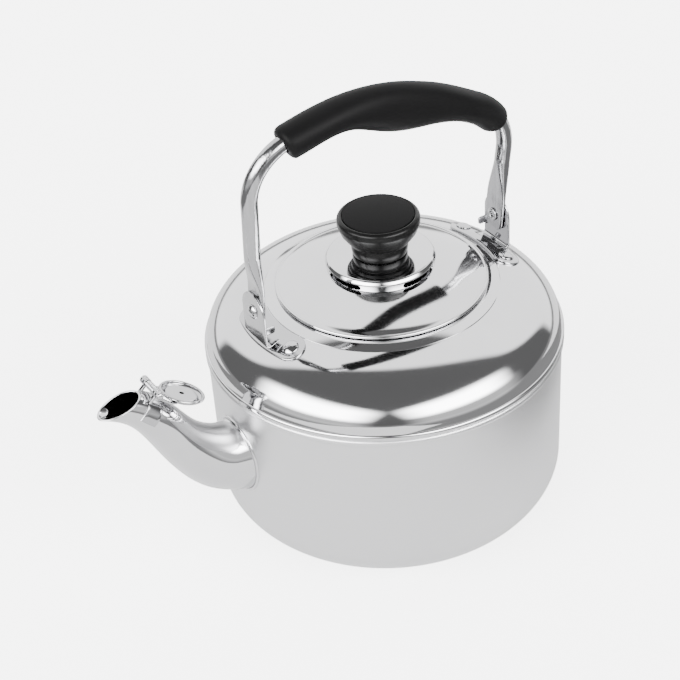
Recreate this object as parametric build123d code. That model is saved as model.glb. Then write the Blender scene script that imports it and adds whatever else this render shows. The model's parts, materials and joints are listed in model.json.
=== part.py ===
from build123d import *
import math
import os

# Stovetop whistling kettle of about five litres, in millimetres.
# The origin is at the bottom centre of the body. +Z is up and the spout points towards -X.
# Outlines are drawn as (radius, height) and turned about the kettle's axis. Places in the plane of
# the spout and the bail are given as (reach, height), where reach is the distance towards the spout.

# Sheet-metal body
BODY_RADIUS = 108.8
SHEET = 0.8
CORNER_REACH = 52.0
CORNER_HEIGHT = 33.0
SEAM_HEIGHT = 121.2
BEAD_RADIUS = 110.0
BEAD_HEIGHT = 4.0

# Shoulder dome: a quarter of an ellipse about this centre, from the seam up to the neck ring
DOME_CENTRE = (50.0, 124.7)
DOME_REACH = 58.4
DOME_HEIGHT = 32.6
NECK_OUTER = 71.1
NECK_INNER = 61.6
NECK_TOP = 157.4
NECK_DEPTH = 14.0

# Lid and vent cap
LID_RADIUS = 64.1
LID_EDGE_HEIGHT = 159.0
LID_CURVE = 151.0
LID_ROLL = 1.05
SKIRT_RADIUS = 60.6
SKIRT_DEPTH = 11.0
VENT_RADIUS = 33.2
VENT_FOOT_RADIUS = 31.0
VENT_TOP = 177.0
SLOT_COUNT = 4
SLOT_ANGLE = 46.0
SLOT_FIRST = 12.5
SLOT_HEIGHT = 3.4
VENT_CUT_REACH = 60.0
VENT_CUT_INNER = 24.0

# Knob
KNOB_FOOT_RADIUS = 16.4
KNOB_RADIUS = 24.5
KNOB_TOP = 203.4
INLAY_RADIUS = 21.4
SCREW_RADIUS = 2.5
INSERT_RADIUS = 4.5

# Spout: (reach, height, half height, half width) along its centre line, and its slanted mouth
SPOUT_STATIONS = (
    (101, 75.5, 24.6, 20.4),
    (110, 77.5, 23.6, 19.6),
    (120, 81.0, 21.0, 18.6),
    (132, 90.0, 17.4, 16.4),
    (142, 102.0, 14.5, 14.5),
    (150.5, 116.0, 12.9, 12.9),
    (158.5, 129.0, 11.8, 11.8),
    (168, 139.0, 10.2, 10.0),
    (179, 146.3, 9.0, 8.8),
    (192, 152.5, 8.6, 8.6),
)
SPOUT_WALL = 0.9
MOUTH_CENTRE = (177.4, 145.7)
MOUTH_TILT = 13.1
SPOUT_RING_WIDTH = 1.8
SPOUT_RING_DEPTH = 1.6
STRAINER_HOLE_RADIUS = 2.4
STRAINER_PITCH = 8.0
STRAINER_RINGS = 2

# Ear brackets and rivets
PIVOT_HEIGHT = 171.0
EAR_REACH = 88.0
EAR_THICKNESS = 1.2
EAR_RADIUS = 12.2
FOOT_RADIUS = 80.2
FOOT_HALF_WIDTH = 8.3
FOOT_ANGLE = 15.7
TAB_HEIGHT = 5.0
TAB_DROP = 11.5
TAB_LENGTH = 6.0
TAB_GAP = 9.9
RIVET_HEAD_RADIUS = 4.8
HEAD_EDGE = 0.5
RIVET_SHANK_RADIUS = 2.4
PIVOT_SHANK_RADIUS = 3.0
PIVOT_CLEARANCE = 0.05

# Bail: the corners of its centre line in its own plane, (reach, height above the pivots)
LEAN = 8.0
TUBE_RADIUS = 4.75
TUBE_WALL = 1.0
BLADE_WIDTH = 16.8
BLADE_THICKNESS = 2.4
BLADE_REACH = 85.4
BLADE_TAIL = 9.5
BLADE_TOP = 14.0
TUBE_START = 42.0
BLADE_CORNER = 5.0
LEG_OVAL = (6.9, 3.9)
BAIL_CORNERS = ((87.5, TUBE_START), (89.2, 104.7), (9.9, 121.9), (-87.5, 76.5), (-87.0, TUBE_START))
BAIL_RADII = (33, 148, 42)

# Grip: (share of the tube's length, half height above it, half height below it, half width)
GRIP_STATIONS = (
    (0.284, 8.4, 10.4, 10.6),
    (0.330, 8.6, 9.9, 10.9),
    (0.380, 9.2, 8.6, 11.0),
    (0.430, 10.2, 9.2, 11.0),
    (0.490, 11.0, 14.2, 11.2),
    (0.560, 10.9, 18.2, 11.3),
    (0.620, 10.2, 17.2, 11.3),
    (0.680, 9.9, 13.3, 11.1),
    (0.740, 9.0, 10.4, 10.9),
    (0.790, 7.8, 11.0, 10.8),
    (0.835, 7.1, 11.9, 10.7),
    (0.874, 6.9, 11.3, 10.4),
)
GRIP_END_ROUND = 3.5

# Whistle: a flip cap on a cross pin behind the mouth, stored flipped open
HINGE = (156.0, 148.3)
OPEN_ANGLE = 217.0
CAP_RADIUS = 13.5
CAP_DEPTH = 3.4
CAP_SHEET = 0.6
CAP_ROLL = 0.9
ARM_THICKNESS = 0.9
ARM_HEIGHT = 2.4
ARM_BEND = 11.6
ARM_END = 8.1
PLATE_SHEET = 0.5
PLATE_HEIGHT = 1.6
CAP_OFFSET = 0.8
CAP_GAP = 0.3
WHISTLE_HOLE_RADIUS = 1.5
BARREL_RADIUS = 2.2
PIN_RADIUS = 1.1
KNUCKLE_FIT = 0.04
KNUCKLE_LENGTH = 2.4
INNER_KNUCKLE = 5.0
OUTER_KNUCKLE = 7.7
SPRING_WIRE = 0.35
SPRING_TURNS = 8
SADDLE_SHEET = 0.6
SADDLE_LENGTH = 10.0
SADDLE_CENTRE = (164.5, 135.6)
SADDLE_DROP = 4.0
SADDLE_COURSE = (9.0, 10.0)
SADDLE_RISE = 34.0
SADDLE_SPAN = 60.0
LUG_FOOT = (162.0, 143.1)
LUG_THICKNESS = 1.6


def at(reach, height, across=0.0):
    """A point in the plane of the spout; across is measured towards -Y."""
    return Vector(-reach, -across, height)


def turned(outline):
    """Turn a flat (radius, height) face about the kettle's axis."""
    return revolve(Plane.XZ * outline, Axis.Z)


def sheet(line, thickness=SHEET):
    """A strip of sheet metal that follows a (radius, height) line."""
    return turned(trace(line, line_width=thickness))


def dome_height(radius, lift=0.0):
    """Height of the shoulder's outer skin at a radius, raised by lift."""
    share = (radius - DOME_CENTRE[0]) / (DOME_REACH + lift)
    return DOME_CENTRE[1] + (DOME_HEIGHT + lift) * math.sqrt(1 - share * share)


def dome_slope(radius):
    """Fall of the shoulder at a radius, in degrees."""
    share = (radius - DOME_CENTRE[0]) / DOME_REACH
    return math.degrees(math.atan(DOME_HEIGHT / DOME_REACH * share / math.sqrt(1 - share * share)))


def dome_shell(inner_lift, outer_lift, inner_radius):
    """The part of the shoulder's skin between two lifts, from its foot in to a radius."""
    def quarter(lift):
        low = 0
        high = math.degrees(math.acos((inner_radius - DOME_CENTRE[0]) / (DOME_REACH + lift)))
        sweep_angle = high - low
        radii = (DOME_REACH + lift, DOME_HEIGHT + lift)
        return EllipticalCenterArc(DOME_CENTRE, *radii, low, arc_size=sweep_angle)
    top = quarter(outer_lift)
    under = quarter(inner_lift)
    ends = Line(top @ 0, under @ 0) + Line(top @ 1, under @ 1)
    return turned(make_face(top + under + ends))


def seam_bead(low):
    """Half-round rolled bead that stands out of the wall."""
    high = low + BEAD_HEIGHT
    bulge = ThreePointArc((BODY_RADIUS - 0.1, low), (BEAD_RADIUS, (low + high) / 2), (BODY_RADIUS - 0.1, high))
    inner = BODY_RADIUS - SHEET
    back = Polyline((BODY_RADIUS - 0.1, high), (inner, high), (inner, low), (BODY_RADIUS - 0.1, low))
    return turned(make_face(bulge + back))


def strainer_holes():
    """Round holes in rings round the spout's root, drilled through the wall."""
    drill = Cylinder(STRAINER_HOLE_RADIUS, 20)
    centre = at(BODY_RADIUS, SPOUT_STATIONS[1][1])
    places = [(0.0, 0.0)]
    for ring in range(1, STRAINER_RINGS + 1):
        for step in range(6 * ring):
            turn = math.radians(60 * step / ring)
            places.append((ring * STRAINER_PITCH * math.cos(turn), ring * STRAINER_PITCH * math.sin(turn)))
    return [Plane(centre + Vector(0, y, z), z_dir=(1, 0, 0)) * drill for y, z in places]


def make_bowl():
    centre = (BODY_RADIUS - CORNER_REACH, CORNER_HEIGHT)
    corner = EllipticalCenterArc(centre, CORNER_REACH, CORNER_HEIGHT, -90, arc_size=90)
    under = EllipticalCenterArc(centre, CORNER_REACH - SHEET, CORNER_HEIGHT - SHEET, -90, arc_size=90)
    rim = SEAM_HEIGHT
    outline = (
        Line((0, 0), corner @ 0) + corner + Line(corner @ 1, (BODY_RADIUS, rim))
        + Line((BODY_RADIUS, rim), (BODY_RADIUS - SHEET, rim)) + Line((BODY_RADIUS - SHEET, rim), under @ 1)
        + under + Line(under @ 0, (0, SHEET)) + Line((0, SHEET), (0, 0))
    )
    shell = turned(make_face(outline)) + seam_bead(SEAM_HEIGHT - BEAD_HEIGHT)
    return shell - strainer_holes()


def make_shoulder():
    foot = DOME_CENTRE[1]
    skin = dome_shell(-SHEET, 0, NECK_OUTER - 4)
    outer = DOME_CENTRE[0] + DOME_REACH
    wall = Polyline((outer - SHEET, SEAM_HEIGHT), (outer, SEAM_HEIGHT), (outer, foot), (outer - SHEET, foot))
    band = turned(make_face(wall + Line(wall @ 1, wall @ 0)))
    holes = [rivet_frame(side, turn) * Cylinder(RIVET_SHANK_RADIUS, 12) for side, turn in rivet_places()]
    return (skin + band + seam_bead(SEAM_HEIGHT)) - holes


def make_neck_ring():
    lift = dome_height(NECK_OUTER)
    flange = Polyline((NECK_OUTER, lift + 0.4), (65.5, NECK_TOP), (63.0, NECK_TOP + 0.1),
                      (NECK_INNER, NECK_TOP - 1.4), (NECK_INNER, NECK_TOP - NECK_DEPTH))
    return sheet(flange) - make_shoulder()


def lid_height(radius):
    """Height of the lid's skin, a shallow dome."""
    return LID_EDGE_HEIGHT + (LID_RADIUS ** 2 - radius ** 2) / (2 * LID_CURVE)


def make_lid():
    crown = ThreePointArc((SCREW_RADIUS + 0.3, lid_height(SCREW_RADIUS)), (40, lid_height(40)),
                          (LID_RADIUS - 1.6, lid_height(LID_RADIUS - 1.6)))
    roll = turned(Pos(LID_RADIUS - LID_ROLL, LID_EDGE_HEIGHT + 0.35) * Circle(LID_ROLL))
    return sheet(crown) + roll


def make_lid_skirt():
    top = lid_height(SKIRT_RADIUS) - SHEET
    foot = LID_EDGE_HEIGHT - SKIRT_DEPTH
    wall = Polyline((SKIRT_RADIUS - 4, lid_height(SKIRT_RADIUS - 4) - SHEET), (SKIRT_RADIUS - 0.4, top),
                    (SKIRT_RADIUS - 0.4, foot + 2), (SKIRT_RADIUS - 1.2, foot))
    return sheet(wall) - make_lid()


def make_vent_cap():
    foot = lid_height(VENT_FOOT_RADIUS) + SHEET / 2
    crown = ThreePointArc((SCREW_RADIUS + 0.3, VENT_TOP + 0.9), (18, VENT_TOP + 0.5), (30, VENT_TOP - 1.0))
    edge = TangentArc((30, VENT_TOP - 1.0), (VENT_RADIUS - 0.4, VENT_TOP - 3.4), tangent=(1, -0.18))
    side = Line((VENT_RADIUS - 0.4, VENT_TOP - 3.4), (VENT_FOOT_RADIUS, foot + 0.05))
    cap = sheet(crown + edge + side)
    half_span = VENT_CUT_REACH * math.tan(math.radians(SLOT_ANGLE / 2))
    corner = make_face(Polyline((0, 0), (VENT_CUT_REACH, half_span), (VENT_CUT_REACH, -half_span), (0, 0)))
    wedge = extrude(corner, SLOT_HEIGHT) - Cylinder(VENT_CUT_INNER, 30)
    turns = [SLOT_FIRST + number * 360 / SLOT_COUNT for number in range(SLOT_COUNT)]
    slots = [Pos(0, 0, foot + 0.6) * Rot(0, 0, turn) * wedge for turn in turns]
    return cap - slots - make_lid()


def knob_foot_height():
    return VENT_TOP + 0.9 + SHEET / 2


def make_knob():
    foot = knob_foot_height()
    stem = Spline((KNOB_FOOT_RADIUS, foot), (16.8, foot + 2.5), (17.0, foot + 5.0), (16.6, foot + 7.4))
    steps = Polyline((16.6, foot + 7.4), (18.4, foot + 8.2), (19.3, foot + 10.6), (20.6, foot + 11.2),
                     (21.4, foot + 13.6), (22.7, foot + 14.2), (KNOB_RADIUS, foot + 20.2))
    rim = ThreePointArc((KNOB_RADIUS, foot + 20.2), (KNOB_RADIUS + 0.1, foot + 22.6), (22.6, KNOB_TOP - 0.2))
    well = KNOB_TOP - 2.2
    top = Polyline((22.6, KNOB_TOP - 0.2), (INLAY_RADIUS + 0.2, KNOB_TOP - 0.6), (INLAY_RADIUS + 0.2, well),
                   (0, well), (0, foot + 18), (INSERT_RADIUS, foot + 18), (INSERT_RADIUS, foot),
                   (KNOB_FOOT_RADIUS, foot))
    body = turned(make_face(stem + steps + rim + top))
    return body - make_vent_cap()


def make_knob_inlay():
    well = KNOB_TOP - 2.2
    crown = ThreePointArc((0, KNOB_TOP + 0.6), (12, KNOB_TOP + 0.3), (INLAY_RADIUS - 0.5, KNOB_TOP - 0.4))
    edge = Polyline((INLAY_RADIUS - 0.5, KNOB_TOP - 0.4), (INLAY_RADIUS, KNOB_TOP - 0.9), (INLAY_RADIUS, well),
                    (0, well), (0, KNOB_TOP + 0.6))
    return turned(make_face(crown + edge))


def make_knob_insert():
    foot = knob_foot_height()
    sleeve = Pos(0, 0, foot + 9) * Cylinder(INSERT_RADIUS, 18)
    return sleeve - Pos(0, 0, foot + 7.5) * Cylinder(SCREW_RADIUS, 15) - make_vent_cap()


def make_knob_screw():
    under = lid_height(0) - SHEET / 2 - 1.0
    tip = knob_foot_height() + 15
    shank = Pos(0, 0, (under + tip) / 2) * Cylinder(SCREW_RADIUS, tip - under)
    head = Pos(0, 0, under) * Rot(180, 0, 0) * domed_head(4.6, 2.6)
    return shank + head - Pos(0, 0, under - 2.6) * Box(8, 1.0, 2.4)


def domed_head(radius, height):
    """A domed head with a short straight edge that stands on its flat face at the origin."""
    rise = height - HEAD_EDGE
    ball = (radius ** 2 + rise ** 2) / (2 * rise)
    return Pos(0, 0, height - ball) * Sphere(ball) & Pos(0, 0, height / 2) * Cylinder(radius, height)


def make_knob_washer():
    under = lid_height(0) - SHEET / 2 - 1.0
    plate = Pos(0, 0, under + 0.45) * Cylinder(8.5, 0.9)
    return plate - Pos(0, 0, under) * Cylinder(SCREW_RADIUS, 6) - make_lid()


def spout_solid(extra):
    """The filled spout with its radii changed by extra, before its mouth is cut."""
    rings = []
    last = len(SPOUT_STATIONS) - 1
    for number, (reach, height, half_height, half_width) in enumerate(SPOUT_STATIONS):
        before = SPOUT_STATIONS[max(number - 1, 0)]
        after = SPOUT_STATIONS[min(number + 1, last)]
        along = Vector(-(after[0] - before[0]), 0, after[1] - before[1])
        frame = Plane(at(reach, height), x_dir=(0, 1, 0), z_dir=along)
        rings.append(frame * Ellipse(half_width + extra, half_height + extra))
    return loft(rings)


def mouth_plane(lift=0.0):
    """Plane of the slanted mouth; its z axis points out of the mouth and x towards the lip."""
    tilt = math.radians(MOUTH_TILT)
    out = Vector(-math.sin(tilt), 0, math.cos(tilt))
    lip = Vector(-math.cos(tilt), 0, -math.sin(tilt))
    return Plane(at(*MOUTH_CENTRE) + out * lift, x_dir=lip, z_dir=out)


def mouth_cutter():
    return mouth_plane() * Pos(20, 0, 25) * Box(90, 60, 50)


def body_core():
    return Pos(0, 0, 80) * Cylinder(BODY_RADIUS, 200)


def make_spout():
    skin = spout_solid(0) - spout_solid(-SPOUT_WALL)
    return skin - mouth_cutter() - body_core()


def make_spout_ring():
    layer = Pos(0, 0, 80) * Cylinder(BODY_RADIUS + SPOUT_RING_DEPTH, 120) - body_core()
    return (layer & spout_solid(SPOUT_RING_WIDTH)) - spout_solid(0)


def rivet_places():
    return [(side, turn) for side in (0, 180) for turn in (-FOOT_ANGLE, FOOT_ANGLE)]


def rivet_frame(side, turn):
    """Frame on the shoulder's skin at a bracket rivet; its z axis stands square to the skin."""
    frame = Rot(0, 0, 180 + side + turn) * Pos(FOOT_RADIUS, 0, dome_height(FOOT_RADIUS))
    return frame * Rot(0, dome_slope(FOOT_RADIUS), 0)


def make_bracket(side):
    """One bracket: an ear with a stop tab, and a curved foot that follows the shoulder."""
    foot_plan = Circle(FOOT_RADIUS + FOOT_HALF_WIDTH) - Circle(FOOT_RADIUS - FOOT_HALF_WIDTH)
    spread = math.tan(math.radians(FOOT_ANGLE))
    foot_plan = foot_plan & make_face(Polyline((0, 0), (120, 120 * spread), (120, -120 * spread), (0, 0)))
    round_end = Pos(FOOT_RADIUS, 0) * Circle(FOOT_HALF_WIDTH)
    ends = [Rot(0, 0, turn) * round_end for turn in (-FOOT_ANGLE, FOOT_ANGLE)]
    outline = extrude(foot_plan + ends, 60)
    layer = dome_shell(0, EAR_THICKNESS, FOOT_RADIUS - FOOT_HALF_WIDTH - 2)
    foot = layer & Pos(0, 0, 120) * outline
    inner = EAR_REACH - EAR_THICKNESS
    base = dome_height(inner) + 0.05
    ear_plan = Pos(0, (PIVOT_HEIGHT + base) / 2) * Rectangle(2 * EAR_RADIUS, PIVOT_HEIGHT - base)
    ear_plan = ear_plan + Pos(0, PIVOT_HEIGHT) * Circle(EAR_RADIUS)
    ear = extrude(Plane((inner, 0, 0), x_dir=(0, 1, 0), z_dir=(1, 0, 0)) * ear_plan, EAR_THICKNESS)
    tab_length = TAB_LENGTH + EAR_THICKNESS
    tab_height = PIVOT_HEIGHT - TAB_DROP + TAB_HEIGHT / 2
    tab = Pos(EAR_REACH - tab_length / 2, TAB_GAP + EAR_THICKNESS / 2, tab_height)
    bracket = foot + ear + tab * Box(tab_length, EAR_THICKNESS, TAB_HEIGHT)
    bracket = bracket - Pos(EAR_REACH, 0, PIVOT_HEIGHT) * Rot(0, 90, 0) * Cylinder(PIVOT_SHANK_RADIUS, 8)
    bracket = Rot(0, 0, 180 + side) * bracket
    shank = Cylinder(RIVET_SHANK_RADIUS, 12)
    return bracket - [rivet_frame(side, turn) * shank for turn in (-FOOT_ANGLE, FOOT_ANGLE)]


def make_bracket_rivets(side):
    """The two domed rivets that hold one bracket, closed inside the shoulder."""
    rivets = []
    for turn in (-FOOT_ANGLE, FOOT_ANGLE):
        head = Pos(0, 0, EAR_THICKNESS + 0.08) * domed_head(RIVET_HEAD_RADIUS, 2.2)
        shank = Pos(0, 0, -0.2) * Cylinder(RIVET_SHANK_RADIUS, 2 * (EAR_THICKNESS + 0.3))
        tail = Pos(0, 0, -SHEET - 0.9) * Cylinder(3.6, 1.4)
        rivets.append(rivet_frame(side, turn) * (head + shank + tail))
    return Compound(children=rivets)


def make_pivot_rivet(side):
    """Pivot rivet: domed head outside the ear, rolled hollow end inside the bail's blade."""
    inside = BLADE_REACH - BLADE_THICKNESS / 2 - 0.25
    shank = Pos(0, 0, (EAR_REACH + inside) / 2) * Cylinder(PIVOT_SHANK_RADIUS, EAR_REACH - inside)
    head = Pos(0, 0, EAR_REACH) * domed_head(4.6, 2.4)
    rolled = Pos(0, 0, inside - 0.6) * Cylinder(4.2, 1.2)
    hollow = Pos(0, 0, inside) * Cylinder(1.9, 4.0)
    rivet = shank + head + rolled - hollow
    return Rot(0, 0, 180 + side) * Pos(0, 0, PIVOT_HEIGHT) * Rot(0, 90, 0) * rivet


def leaned(shape):
    """Lean a piece of the bail about its pivots, away from upright, towards -Y."""
    return Pos(0, 0, PIVOT_HEIGHT) * Rot(LEAN, 0, 0) * shape


def bail_path():
    corners = [(-reach, 0, height) for reach, height in BAIL_CORNERS]
    return FilletPolyline(*corners, radius=BAIL_RADII)


def bail_leg(side):
    """Flattened end of the tube: a blade with its pivot hole and the change from round to flat."""
    top_reach = abs(BAIL_CORNERS[0 if side > 0 else -1][0])
    path = bail_path()
    spot = path @ (0 if side > 0 else 1)
    tangent = (path % (0 if side > 0 else 1)) * (1 if side > 0 else -1)
    reach = -side * BLADE_REACH
    blade_section = SlotOverall(BLADE_WIDTH, BLADE_THICKNESS)
    flat = Plane((reach, 0, BLADE_TOP), x_dir=(0, 1, 0), z_dir=(0, 0, 1)) * blade_section
    middle = (BLADE_TOP + TUBE_START) / 2
    middle_reach = -side * (BLADE_REACH + top_reach) / 2
    oval = Plane((middle_reach, 0, middle), x_dir=(0, 1, 0), z_dir=(0, 0, 1)) * Ellipse(*LEG_OVAL)
    round_end = Plane(spot, x_dir=(0, 1, 0), z_dir=tangent) * Circle(TUBE_RADIUS)
    neck = loft([flat, oval, round_end])
    tail = Plane((reach, 0, -BLADE_TAIL), x_dir=(0, 1, 0), z_dir=(0, 0, 1)) * blade_section
    blade = extrude(tail, BLADE_TAIL + BLADE_TOP)
    keep = Pos(-BLADE_TOP, 0) * RectangleRounded(2 * (BLADE_TAIL + BLADE_TOP), BLADE_WIDTH + 0.2, BLADE_CORNER)
    blade = blade & Pos(reach, 0, 0) * Rot(0, 90, 0) * extrude(keep, BLADE_WIDTH, both=True)
    hole = Pos(reach, 0, 0) * Rot(0, 90, 0) * Cylinder(PIVOT_SHANK_RADIUS + PIVOT_CLEARANCE, 20)
    return neck + blade - hole


def tube_section(radius):
    path = bail_path()
    return sweep(Plane(path @ 0, x_dir=(0, 1, 0), z_dir=path % 0) * Circle(radius), path=path)


def make_bail_tube():
    tube = tube_section(TUBE_RADIUS) - tube_section(TUBE_RADIUS - TUBE_WALL)
    return leaned(tube + bail_leg(1) + bail_leg(-1))


def make_grip():
    path = bail_path()
    rings = []
    for share, above, below, half_width in GRIP_STATIONS:
        frame = Plane(path @ share, x_dir=(0, 1, 0), z_dir=path % share)
        rings.append(frame * Pos(0, (above - below) / 2) * Ellipse(half_width, (above + below) / 2))
    body = loft(rings)
    ends = body.faces().filter_by(GeomType.PLANE).edges()
    body = fillet(ends, GRIP_END_ROUND)
    return leaned(body - tube_section(TUBE_RADIUS))


def cap_plane():
    """Plane of the whistle cap's rim when closed, with its centre on the cap's axis."""
    base = mouth_plane(CAP_GAP)
    return Plane(base.origin - base.x_dir * CAP_OFFSET, x_dir=base.x_dir, z_dir=base.z_dir)


def opened(shape):
    """Swing a whistle piece from closed to flipped open about its hinge."""
    hinge = at(*HINGE)
    return Pos(hinge) * Rot(0, OPEN_ANGLE, 0) * Pos(-hinge) * shape


def knuckle(start, outer, inner):
    """A pair of tube knuckles on the hinge line, one each side."""
    tube = Cylinder(outer, KNUCKLE_LENGTH) - Cylinder(inner, 9)
    middles = [side * (start + KNUCKLE_LENGTH / 2) for side in (-1, 1)]
    return [Pos(at(*HINGE, middle)) * Rot(90, 0, 0) * tube for middle in middles]


def make_whistle_cap():
    rim = CAP_RADIUS - CAP_ROLL
    wall = ((rim - 2.6, CAP_DEPTH), (rim - 0.8, CAP_DEPTH - 1.2), (rim, 1.0))
    dish = Polyline((WHISTLE_HOLE_RADIUS, CAP_DEPTH), *wall)
    shell = revolve(Plane.XZ * trace(dish, line_width=CAP_SHEET), Axis.Z)
    roll = revolve(Plane.XZ * Pos(rim, CAP_ROLL) * Circle(CAP_ROLL), Axis.Z)
    cap = cap_plane() * (shell + roll)
    hinge = at(*HINGE)
    local = cap_plane().to_local_coords(hinge)
    for side in (-1, 1):
        across = side * (OUTER_KNUCKLE + KNUCKLE_LENGTH / 2)
        start = (local.X, local.Z + BARREL_RADIUS - ARM_THICKNESS / 2)
        arm_line = Polyline(start, (-ARM_BEND, ARM_HEIGHT), (-ARM_END, ARM_HEIGHT))
        strip = extrude(Plane.XZ * trace(arm_line, line_width=ARM_THICKNESS), KNUCKLE_LENGTH / 2, both=True)
        cap = cap + cap_plane() * Pos(0, across, 0) * strip
    pin_hole = Pos(hinge) * Rot(90, 0, 0) * Cylinder(PIN_RADIUS + KNUCKLE_FIT, 40)
    return opened(cap + knuckle(OUTER_KNUCKLE, BARREL_RADIUS, PIN_RADIUS + KNUCKLE_FIT) - pin_hole)


def make_whistle_plate():
    rim = CAP_RADIUS - CAP_ROLL
    edge = (rim - 2.2, CAP_DEPTH - 0.65)
    plate = Polyline((WHISTLE_HOLE_RADIUS, PLATE_HEIGHT), (rim - 3.4, PLATE_HEIGHT), edge)
    disc = revolve(Plane.XZ * trace(plate, line_width=PLATE_SHEET), Axis.Z)
    return opened(cap_plane() * disc) - make_whistle_cap()


def make_whistle_pin():
    length = 2 * (OUTER_KNUCKLE + KNUCKLE_LENGTH + 0.2)
    pin = Cylinder(PIN_RADIUS, length)
    pin = pin + Pos(0, 0, length / 2) * domed_head(1.9, 1.0)
    pin = pin + Pos(0, 0, -length / 2) * Rot(180, 0, 0) * domed_head(1.9, 1.0)
    return Pos(at(*HINGE)) * Rot(90, 0, 0) * pin


def make_whistle_spring():
    radius = PIN_RADIUS + 0.15 + SPRING_WIRE
    span = 2 * INNER_KNUCKLE - 1.6
    coil = Helix(span / SPRING_TURNS, span, radius)
    wire = sweep(Plane(coil @ 0, z_dir=coil % 0) * Circle(SPRING_WIRE), path=coil, is_frenet=True)
    return Pos(at(*HINGE)) * Rot(90, 0, 0) * Pos(0, 0, -span / 2) * wire


def make_whistle_saddle():
    """Sheet saddle that grips the top of the spout and carries the fixed knuckles."""
    wrap = spout_solid(SADDLE_SHEET) - spout_solid(0)
    frame = Plane(at(*SADDLE_CENTRE), x_dir=(0, -1, 0), z_dir=at(*SADDLE_COURSE))
    band = Box(SADDLE_SPAN, SADDLE_RISE, SADDLE_LENGTH)
    saddle = wrap & frame * Pos(0, SADDLE_RISE / 2 - SADDLE_DROP, 0) * band
    for side in (-1, 1):
        across = side * (INNER_KNUCKLE + KNUCKLE_LENGTH / 2)
        foot = at(*LUG_FOOT, across)
        hinge = at(*HINGE, across)
        lug = Plane((foot + hinge) * 0.5, x_dir=(0, 1, 0), z_dir=hinge - foot)
        saddle = saddle + lug * Box(KNUCKLE_LENGTH, LUG_THICKNESS, (hinge - foot).length)
    hole = Pos(at(*HINGE)) * Rot(90, 0, 0) * Cylinder(PIN_RADIUS, 40)
    return saddle + knuckle(INNER_KNUCKLE, BARREL_RADIUS, PIN_RADIUS) - hole - spout_solid(0)


PIECES = {
    "bowl": make_bowl,
    "shoulder": make_shoulder,
    "neck_ring": make_neck_ring,
    "spout": make_spout,
    "spout_ring": make_spout_ring,
    "bracket_front": lambda: make_bracket(0),
    "bracket_rear": lambda: make_bracket(180),
    "bracket_rivets_front": lambda: make_bracket_rivets(0),
    "bracket_rivets_rear": lambda: make_bracket_rivets(180),
    "pivot_rivet_front": lambda: make_pivot_rivet(0),
    "pivot_rivet_rear": lambda: make_pivot_rivet(180),
    "bail_tube": make_bail_tube,
    "grip": make_grip,
    "lid": make_lid,
    "lid_skirt": make_lid_skirt,
    "vent_cap": make_vent_cap,
    "knob": make_knob,
    "knob_inlay": make_knob_inlay,
    "knob_insert": make_knob_insert,
    "knob_screw": make_knob_screw,
    "knob_washer": make_knob_washer,
    "whistle_saddle": make_whistle_saddle,
    "whistle_pin": make_whistle_pin,
    "whistle_spring": make_whistle_spring,
    "whistle_cap": make_whistle_cap,
    "whistle_plate": make_whistle_plate,
}

os.makedirs("parts", exist_ok=True)
for name, make in PIECES.items():
    piece = make()
    export_step(piece, f"parts/{name}.step")
    print(name, round(piece.volume / 1000, 2), "cm3")
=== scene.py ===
# %% [markdown]
# # A stovetop whistling kettle
# The engineer's model of the kettle is already packed: plain solids with real sizes and real joints.
# This lesson builds what the eye sees around it, piece by piece, the way a tinsmith would make them:
# spun shells, a swaged spout, a flattened and bent tube, a moulded grip and a turned knob.
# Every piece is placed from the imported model, so nothing has to be fitted afterwards.

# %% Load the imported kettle
import json
import math
import bmesh
import bpy
import numpy as np
from mathutils import Matrix, Vector


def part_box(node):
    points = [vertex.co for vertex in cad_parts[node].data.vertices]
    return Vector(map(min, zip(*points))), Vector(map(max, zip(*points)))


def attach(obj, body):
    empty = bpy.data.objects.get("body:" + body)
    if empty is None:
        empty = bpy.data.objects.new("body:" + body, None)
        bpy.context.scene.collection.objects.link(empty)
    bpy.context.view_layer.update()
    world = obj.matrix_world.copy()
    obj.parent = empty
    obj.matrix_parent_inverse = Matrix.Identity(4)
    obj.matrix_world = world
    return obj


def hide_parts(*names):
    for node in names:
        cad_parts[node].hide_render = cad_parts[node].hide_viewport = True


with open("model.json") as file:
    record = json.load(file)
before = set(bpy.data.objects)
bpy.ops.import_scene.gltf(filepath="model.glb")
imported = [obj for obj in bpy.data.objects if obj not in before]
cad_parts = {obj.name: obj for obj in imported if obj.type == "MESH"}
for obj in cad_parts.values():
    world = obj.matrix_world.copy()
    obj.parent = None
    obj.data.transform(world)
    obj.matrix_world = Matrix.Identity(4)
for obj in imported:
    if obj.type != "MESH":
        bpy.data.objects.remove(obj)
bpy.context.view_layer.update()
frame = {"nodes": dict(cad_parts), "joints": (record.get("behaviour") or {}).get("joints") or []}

print("nodes:", len(frame["nodes"]))

# %% [markdown]
# ## Sizes
# The kettle is a body of revolution, so most of its places are a radius and a height. They are read
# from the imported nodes. The spout and the bail lie in the kettle's middle plane; there, a place is a
# reach (how far towards the spout, which points along -X) and a height.

# %% Driving sizes, in metres
MM = 0.001
SHEET = 0.8 * MM
bowl_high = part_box("bowl")[1]
BEAD_RADIUS = bowl_high.x
SEAM = bowl_high.z
BEAD_OUT = 1.2 * MM
BEAD_HEIGHT = 4.0 * MM
WALL_RADIUS = BEAD_RADIUS - BEAD_OUT
INNER_WALL = WALL_RADIUS - SHEET
joints = {joint["name"]: joint for joint in frame["joints"]}
PIVOT_HEIGHT = joints["bail_rock"]["pos_m"][2]
hinge_place = joints["whistle_flip"]["pos_m"]
HINGE = (-hinge_place[0], hinge_place[2])
OPEN_ANGLE = joints["whistle_flip"]["range_deg"][1]
print("body radius", round(BEAD_RADIUS, 4), "seam height", round(SEAM, 4), "pivot height", PIVOT_HEIGHT)


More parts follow.
